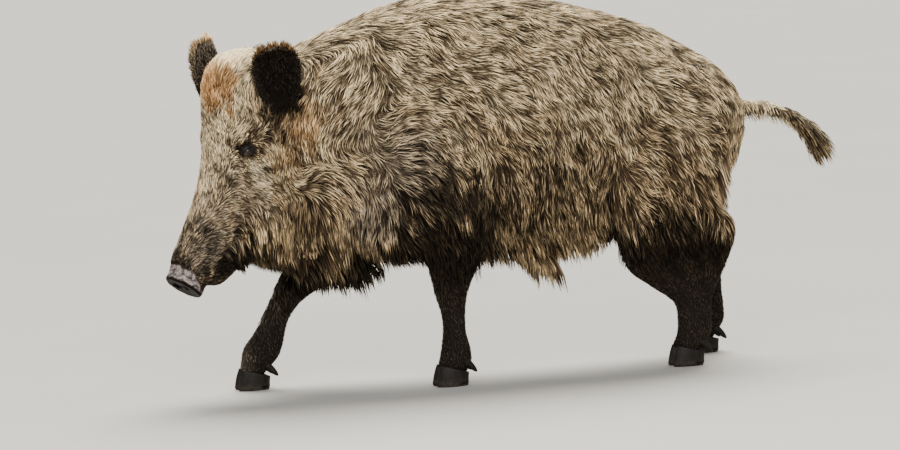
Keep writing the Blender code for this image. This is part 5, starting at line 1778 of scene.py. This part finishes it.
# ------------------------------------------------------------------ eyes and horn
def build_eye(index, name):
    """An eyeball as rings round its gaze, with the clear front of the eye standing out a little."""
    centre, slit, up, out = EYES[index]
    turns, rings = 48, 36
    bend = math.pi * np.arange(rings + 1) / rings
    turn = 2 * math.pi * np.arange(turns) / turns
    radius = EYE_RADIUS * (1 + 0.045 * bell(bend, 0, 0.55)) - 0.0002
    wide, deep = ((radius * f(bend))[1:-1, None, None] for f in (np.sin, np.cos))
    ring = centre + wide * (np.cos(turn)[:, None] * slit + np.sin(turn)[:, None] * up) + deep * out
    points = np.concatenate(([centre + out * radius[0]], ring.reshape(-1, 3), [centre - out * radius[-1]]))
    a = 1 + (np.arange(rings - 2)[:, None] * turns + np.arange(turns)).ravel()
    b = 1 + (np.arange(rings - 2)[:, None] * turns + (np.arange(turns) + 1) % turns).ravel()
    quads = np.stack((a, a + turns, b + turns, b), 1)
    i, j = np.arange(turns), (np.arange(turns) + 1) % turns
    last = len(points) - 1
    tris = np.concatenate((np.stack((0 * i, 1 + i, 1 + j), 1),
                           np.stack((0 * i + last, last - turns + j, last - turns + i), 1)))
    mesh = fill_mesh(name, to_world(points), outward(points, tris, quads))
    v = points - centre
    gaze = np.hypot((v @ slit) * 0.80, (v @ up) * 1.25) / EYE_RADIUS
    gaze = np.where(v @ out < 0, 2.0, gaze)
    keep_colour(mesh, "Gaze", np.repeat(gaze[:, None], 4, 1))
    made = place(name, mesh, shared_material("boar_eye", eye_material))
    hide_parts(name.replace("ball", ""))


def shell(rings):
    """Points and faces of a closed tube of rings, fanned shut at both ends."""
    k, n = rings.shape[:2]
    points = np.concatenate((rings.reshape(-1, 3), rings[:1].mean(1), rings[-1:].mean(1)))
    a = (np.arange(k - 1)[:, None] * n + np.arange(n)).ravel()
    b = (np.arange(k - 1)[:, None] * n + (np.arange(n) + 1) % n).ravel()
    i, j = np.arange(n), (np.arange(n) + 1) % n
    tris = np.concatenate((np.stack((0 * i + k * n, j, i), 1),
                           np.stack((0 * i + k * n + 1, (k - 1) * n + i, (k - 1) * n + j), 1)))
    return points, tris, np.stack((a, b, b + n, a + n), 1)


# Rings of a claw: share of its outline and how far it leans back, at a height in metres for the
# rounded sole and at a share of the upper rim's height above it.
SOLE_RINGS = ((0.0, 0.90, 0.0), (0.0008, 0.955, 0.0), (0.003, 0.985, 0.0), (0.0065, 1.0, 0.0))
WALL_RINGS = ((0.20, 0.990, 0.0006), (0.30, 0.981, 0.001), (0.38, 0.971, 0.0014), (0.46, 0.960, 0.0018),
              (0.54, 0.948, 0.0022), (0.62, 0.935, 0.0028), (0.70, 0.922, 0.0035), (0.78, 0.908, 0.0042),
              (0.86, 0.894, 0.0049), (0.93, 0.880, 0.0055), (1.0, 0.850, 0.006))


def claw_rings(s, t, side):
    """One claw: a drop-shaped outline, rounded at the sole, ringed by growth, drawn in at the top."""
    a = 2 * math.pi * np.arange(48) / 48
    f, w = np.cos(a), np.sin(a)
    width = HOOF_WIDTH / 2 * (1 - 0.28 * np.maximum(f, 0) ** 2) * np.where(w * side < 0, 0.92, 1.0)
    rings = []
    for i, (level, shrink, back) in enumerate(SOLE_RINGS + WALL_RINGS):
        on_wall = i >= len(SOLE_RINGS)
        shrink = shrink + 0.008 * (i % 2) * on_wall
        ahead = HOOF_LENGTH / 2 * f * shrink - back
        height = level * coronet_height(ahead) if on_wall else level + 0 * a
        away = side * (CLEFT + HOOF_WIDTH / 2) + width * w * shrink
        rings.append(np.stack((s + ahead, t + away, height), -1))
    return np.array(rings)


def dewclaw_rings(s, t, side):
    """A dewclaw: a blunt horn bent a little downwards, its root inside the leg."""
    root = np.array((s - 0.012, t + side * 0.0145, 0.056))
    tip = np.array((s - 0.048, t + side * 0.0198, 0.0250))
    along = unit(tip - root)
    across = unit(np.cross(along, (0, 1, 0)))
    third = np.cross(along, across)
    a = 2 * math.pi * np.arange(24) / 24
    k = np.array((0.0, 0.15, 0.30, 0.45, 0.60, 0.74, 0.85, 0.93, 0.98, 1.0))
    r = np.array((0.0078, 0.0079, 0.0078, 0.0076, 0.0070, 0.0060, 0.0048, 0.0034, 0.0020, 0.0006))
    middle = root + (tip - root) * k[:, None] + np.array((0, 0, 0.003)) * np.sin(math.pi * k)[:, None]
    ring = across * np.cos(a)[:, None] + third * np.sin(a)[:, None] * 0.85
    return middle[:, None] + ring[None] * r[:, None, None]


def build_foot(name, s, t):
    """The two claws and two dewclaws of one foot."""
    points, tris, quads, start = [], [], [], 0
    for side in (1, -1):
        for rings in (claw_rings(s, t, side), dewclaw_rings(s, t, side)):
            p, *faces = shell(rings)
            three, four = outward(p, *faces)
            points.append(p)
            tris.append(three + start)
            quads.append(four + start)
            start += len(p)
    faces = [np.concatenate(tris), np.concatenate(quads)]
    mesh = fill_mesh(name + "_horn", to_world(np.concatenate(points)), faces)
    made = place(name + "_horn", mesh, shared_material("boar_horn", horn_material))
    parts = itertools.product(("hoof", "dewclaw"), ("inner", "outer"))
    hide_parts(*(f"{name}_{part}_{where}" for part, where in parts))


def outward(points, *faces):
    """The faces of a closed mesh, turned over if the volume that they enclose is below zero."""
    three = np.concatenate([f[:, [0, i, i + 1]] for f in faces for i in range(1, f.shape[1] - 1)])
    a, b, c = (points[three[:, i]] for i in range(3))
    turned = (a * np.cross(b, c)).sum() < 0
    return [f[:, ::-1] if turned else f for f in faces]


def build_skin():
    """The one skin, in place of every flesh node of the frame."""
    _, points, faces = skin_work()
    mesh = fill_mesh("boar_skin", to_world(points), outward(points, *faces))
    keep_colour(mesh, "Marks", masks_at(points))
    keep_colour(mesh, "Bare", bare_at(points))
    made = place("boar_skin", mesh, skin_material(coat_group()))
    horn = ("hoof", "dewclaw", "eye", "ear", "brush", "tassel")
    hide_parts(*(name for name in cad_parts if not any(word in name for word in horn)))


# ------------------------------------------------------------------ stage
def add_light(name, kind, at, spot, **settings):
    """A light of one kind whose -Z looks from a place to a spot, both in animal terms."""
    data = bpy.data.lights.new(name, kind)
    for key, value in settings.items():
        setattr(data, key, value)
    lamp = add_object(name, data)
    lamp.location, spot = (Vector(to_world(np.array(v, float))) for v in (at, spot))
    lamp.rotation_euler = (spot - lamp.location).to_track_quat("-Z", "Y").to_euler()


CAMERA_PLACE = (2.10668, 7.69827, 0.92310)
CAMERA_RIGHT = (-0.96354, 0.26243, -0.05217)
CAMERA_UP = (-0.07083, -0.06214, 0.99555)
CAMERA_BACK = (0.25802, 0.96295, 0.07846)
LENS = 166.4


def set_camera():
    """The camera, from its place and its three directions in animal terms."""
    data = bpy.data.cameras.new("camera")
    data.lens, data.sensor_width, data.clip_end = LENS, 36.0, 200.0
    camera = add_object("camera", data)
    rows = [to_world(np.array(v)) - SHIFT for v in (CAMERA_RIGHT, CAMERA_UP, CAMERA_BACK)]
    spot = to_world(np.array(CAMERA_PLACE))
    columns = np.stack((*rows, spot), 1)
    camera.matrix_world = Matrix((*columns.tolist(), (0, 0, 0, 1)))
    bpy.context.scene.camera = camera


def set_floor():
    """A wide round floor."""
    turn = 2 * math.pi * np.arange(96) / 96
    rim = np.stack((150 * np.cos(turn), 150 * np.sin(turn), 0 * turn), -1)
    i = np.arange(96)
    tris = np.stack((0 * i, 1 + i, 1 + (i + 1) % 96), 1)
    mesh = fill_mesh("floor", np.concatenate((np.zeros((1, 3)), rim)), [tris], smooth=False)
    mesh.materials.append(floor_material())
    add_object("floor", mesh)


def set_lights():
    """A broad even light from above and behind, a soft fill from the camera's side, a pale world."""
    middle = (0.0, 0.0, 0.4)
    add_light("sky light", "SUN", (-0.7, -1.6, 3.4), middle, energy=10.0, angle=math.radians(40),
              color=(1.0, 0.96, 0.88))
    add_light("fill light", "AREA", (1.2, 4.5, 2.6), middle, shape="RECTANGLE", size=3.0, size_y=2.5,
              energy=320.0, color=(1.0, 0.98, 0.96))
    world = bpy.data.worlds.new("studio")
    bpy.context.scene.world = world
    world.use_nodes = True
    sky = world.node_tree.nodes["Background"]
    sky.inputs["Color"].default_value = (0.80, 0.80, 0.78, 1.0)
    sky.inputs["Strength"].default_value = 0.8


# ------------------------------------------------------------------ add-on
def colour(name, description, default):
    """A colour that a user may change."""
    return FloatVectorProperty(name=name, description=description, default=default, size=3, min=0, max=1,
                               subtype="COLOR")


class BoarCoat(bpy.types.PropertyGroup):
    """Sizes of the coat."""

    spacing: FloatProperty(name="Tuft spacing", description="Space between tufts on the trunk",
                           default=USUAL_SPACING, min=0.004, max=0.05, unit="LENGTH", precision=4)
    length: FloatProperty(name="Hair length", description="Length of all hair, as a share of the usual",
                          default=1.0, min=0.3, max=1.3, subtype="FACTOR")
    seed: IntProperty(name="Seed", description="Start of the chances by which tufts differ", default=7,
                      min=0)


class BoarColours(bpy.types.PropertyGroup):
    """Colours of the coat."""

    root_colour: colour("Root", "Hair at its root", (0.016, 0.011, 0.007))
    body_colour: colour("Body", "Hair at its middle", (0.120, 0.080, 0.046))
    tip_colour: colour("Tip", "Hair at its pale tip", (0.76, 0.555, 0.315))
    rust_colour: colour("Rust", "Red-brown hair", (0.50, 0.25, 0.085))
    cream_colour: colour("Cream", "Pale hair of the poll and brow", (1.00, 0.86, 0.56))
    ash_colour: colour("Ash", "Grey hair", (0.34, 0.29, 0.235))
    soot_colour: colour("Soot", "Black hair of the legs", (0.0022, 0.0018, 0.0014))
    soot_tip: colour("Soot tip", "Worn tip of black hair", (0.020, 0.017, 0.012))


class BOAR_OT_skin(bpy.types.Operator):
    """Make the one skin"""

    bl_idname = "boar.skin"
    bl_label = "Skin"

    def execute(self, context):
        build_skin()
        return {"FINISHED"}


class BOAR_OT_coat(bpy.types.Operator):
    """Grow the coat of the trunk, the head and the legs"""

    bl_idname = "boar.coat"
    bl_label = "Coat"

    def execute(self, context):
        grow_pieces(context.scene.boar_coat)
        return {"FINISHED"}


class BOAR_OT_fringes(bpy.types.Operator):
    """Grow the long hanging hair"""

    bl_idname = "boar.fringes"
    bl_label = "Fringes"

    def execute(self, context):
        grow_fringes(context.scene.boar_coat)
        return {"FINISHED"}


class BOAR_OT_ears(bpy.types.Operator):
    """Make both ears and their hair"""

    bl_idname = "boar.ears"
    bl_label = "Ears"

    def execute(self, context):
        build_ear(1, "left_ear_skin")
        build_ear(-1, "right_ear_skin")
        ear_hair(context.scene.boar_coat)
        return {"FINISHED"}


class BOAR_OT_tail(bpy.types.Operator):
    """Grow the hair of the tail"""

    bl_idname = "boar.tail"
    bl_label = "Tail"

    def execute(self, context):
        grow_tail(context.scene.boar_coat)
        return {"FINISHED"}


class BOAR_OT_eyes(bpy.types.Operator):
    """Make both eyes"""

    bl_idname = "boar.eyes"
    bl_label = "Eyes"

    def execute(self, context):
        build_eye(0, "left_eyeball")
        build_eye(1, "right_eyeball")
        return {"FINISHED"}


class BOAR_OT_feet(bpy.types.Operator):
    """Make the hooves and dewclaws"""

    bl_idname = "boar.feet"
    bl_label = "Hooves"

    def execute(self, context):
        for name, (s, t) in FOOT.items():
            build_foot(name, s, t)
        return {"FINISHED"}


class BOAR_OT_stage(bpy.types.Operator):
    """Set the floor, the lights and the camera"""

    bl_idname = "boar.stage"
    bl_label = "Stage"

    def execute(self, context):
        set_floor()
        set_lights()
        set_camera()
        return {"FINISHED"}


OPERATORS = (BOAR_OT_skin, BOAR_OT_coat, BOAR_OT_fringes, BOAR_OT_ears, BOAR_OT_tail, BOAR_OT_eyes,
             BOAR_OT_feet, BOAR_OT_stage)


class BOAR_PT_panel(bpy.types.Panel):
    """Sizes, colours and pieces of the boar"""

    bl_label = "Wild boar"
    bl_space_type = "VIEW_3D"
    bl_region_type = "UI"
    bl_category = "Boar"

    def draw(self, context):
        for group in (context.scene.boar_coat, context.scene.boar_colours):
            for key in group.bl_rna.properties.keys():
                if key not in ("name", "rna_type"):
                    self.layout.prop(group, key)
        for operator in OPERATORS:
            self.layout.operator(operator.bl_idname)


CLASSES = (BoarCoat, BoarColours, *OPERATORS, BOAR_PT_panel)


def register():
    """Register the classes and their properties."""
    for each in CLASSES:
        bpy.utils.register_class(each)
    bpy.types.Scene.boar_coat = PointerProperty(type=BoarCoat)
    bpy.types.Scene.boar_colours = PointerProperty(type=BoarColours)


def unregister():
    """Take the properties and classes away again."""
    del bpy.types.Scene.boar_coat
    del bpy.types.Scene.boar_colours
    for each in reversed(CLASSES):
        bpy.utils.unregister_class(each)


def main():
    """Make every piece and the stage."""
    register()
    for operator in OPERATORS:
        group, name = operator.bl_idname.split(".")
        getattr(getattr(bpy.ops, group), name)()


if __name__ == "__main__":
    main()
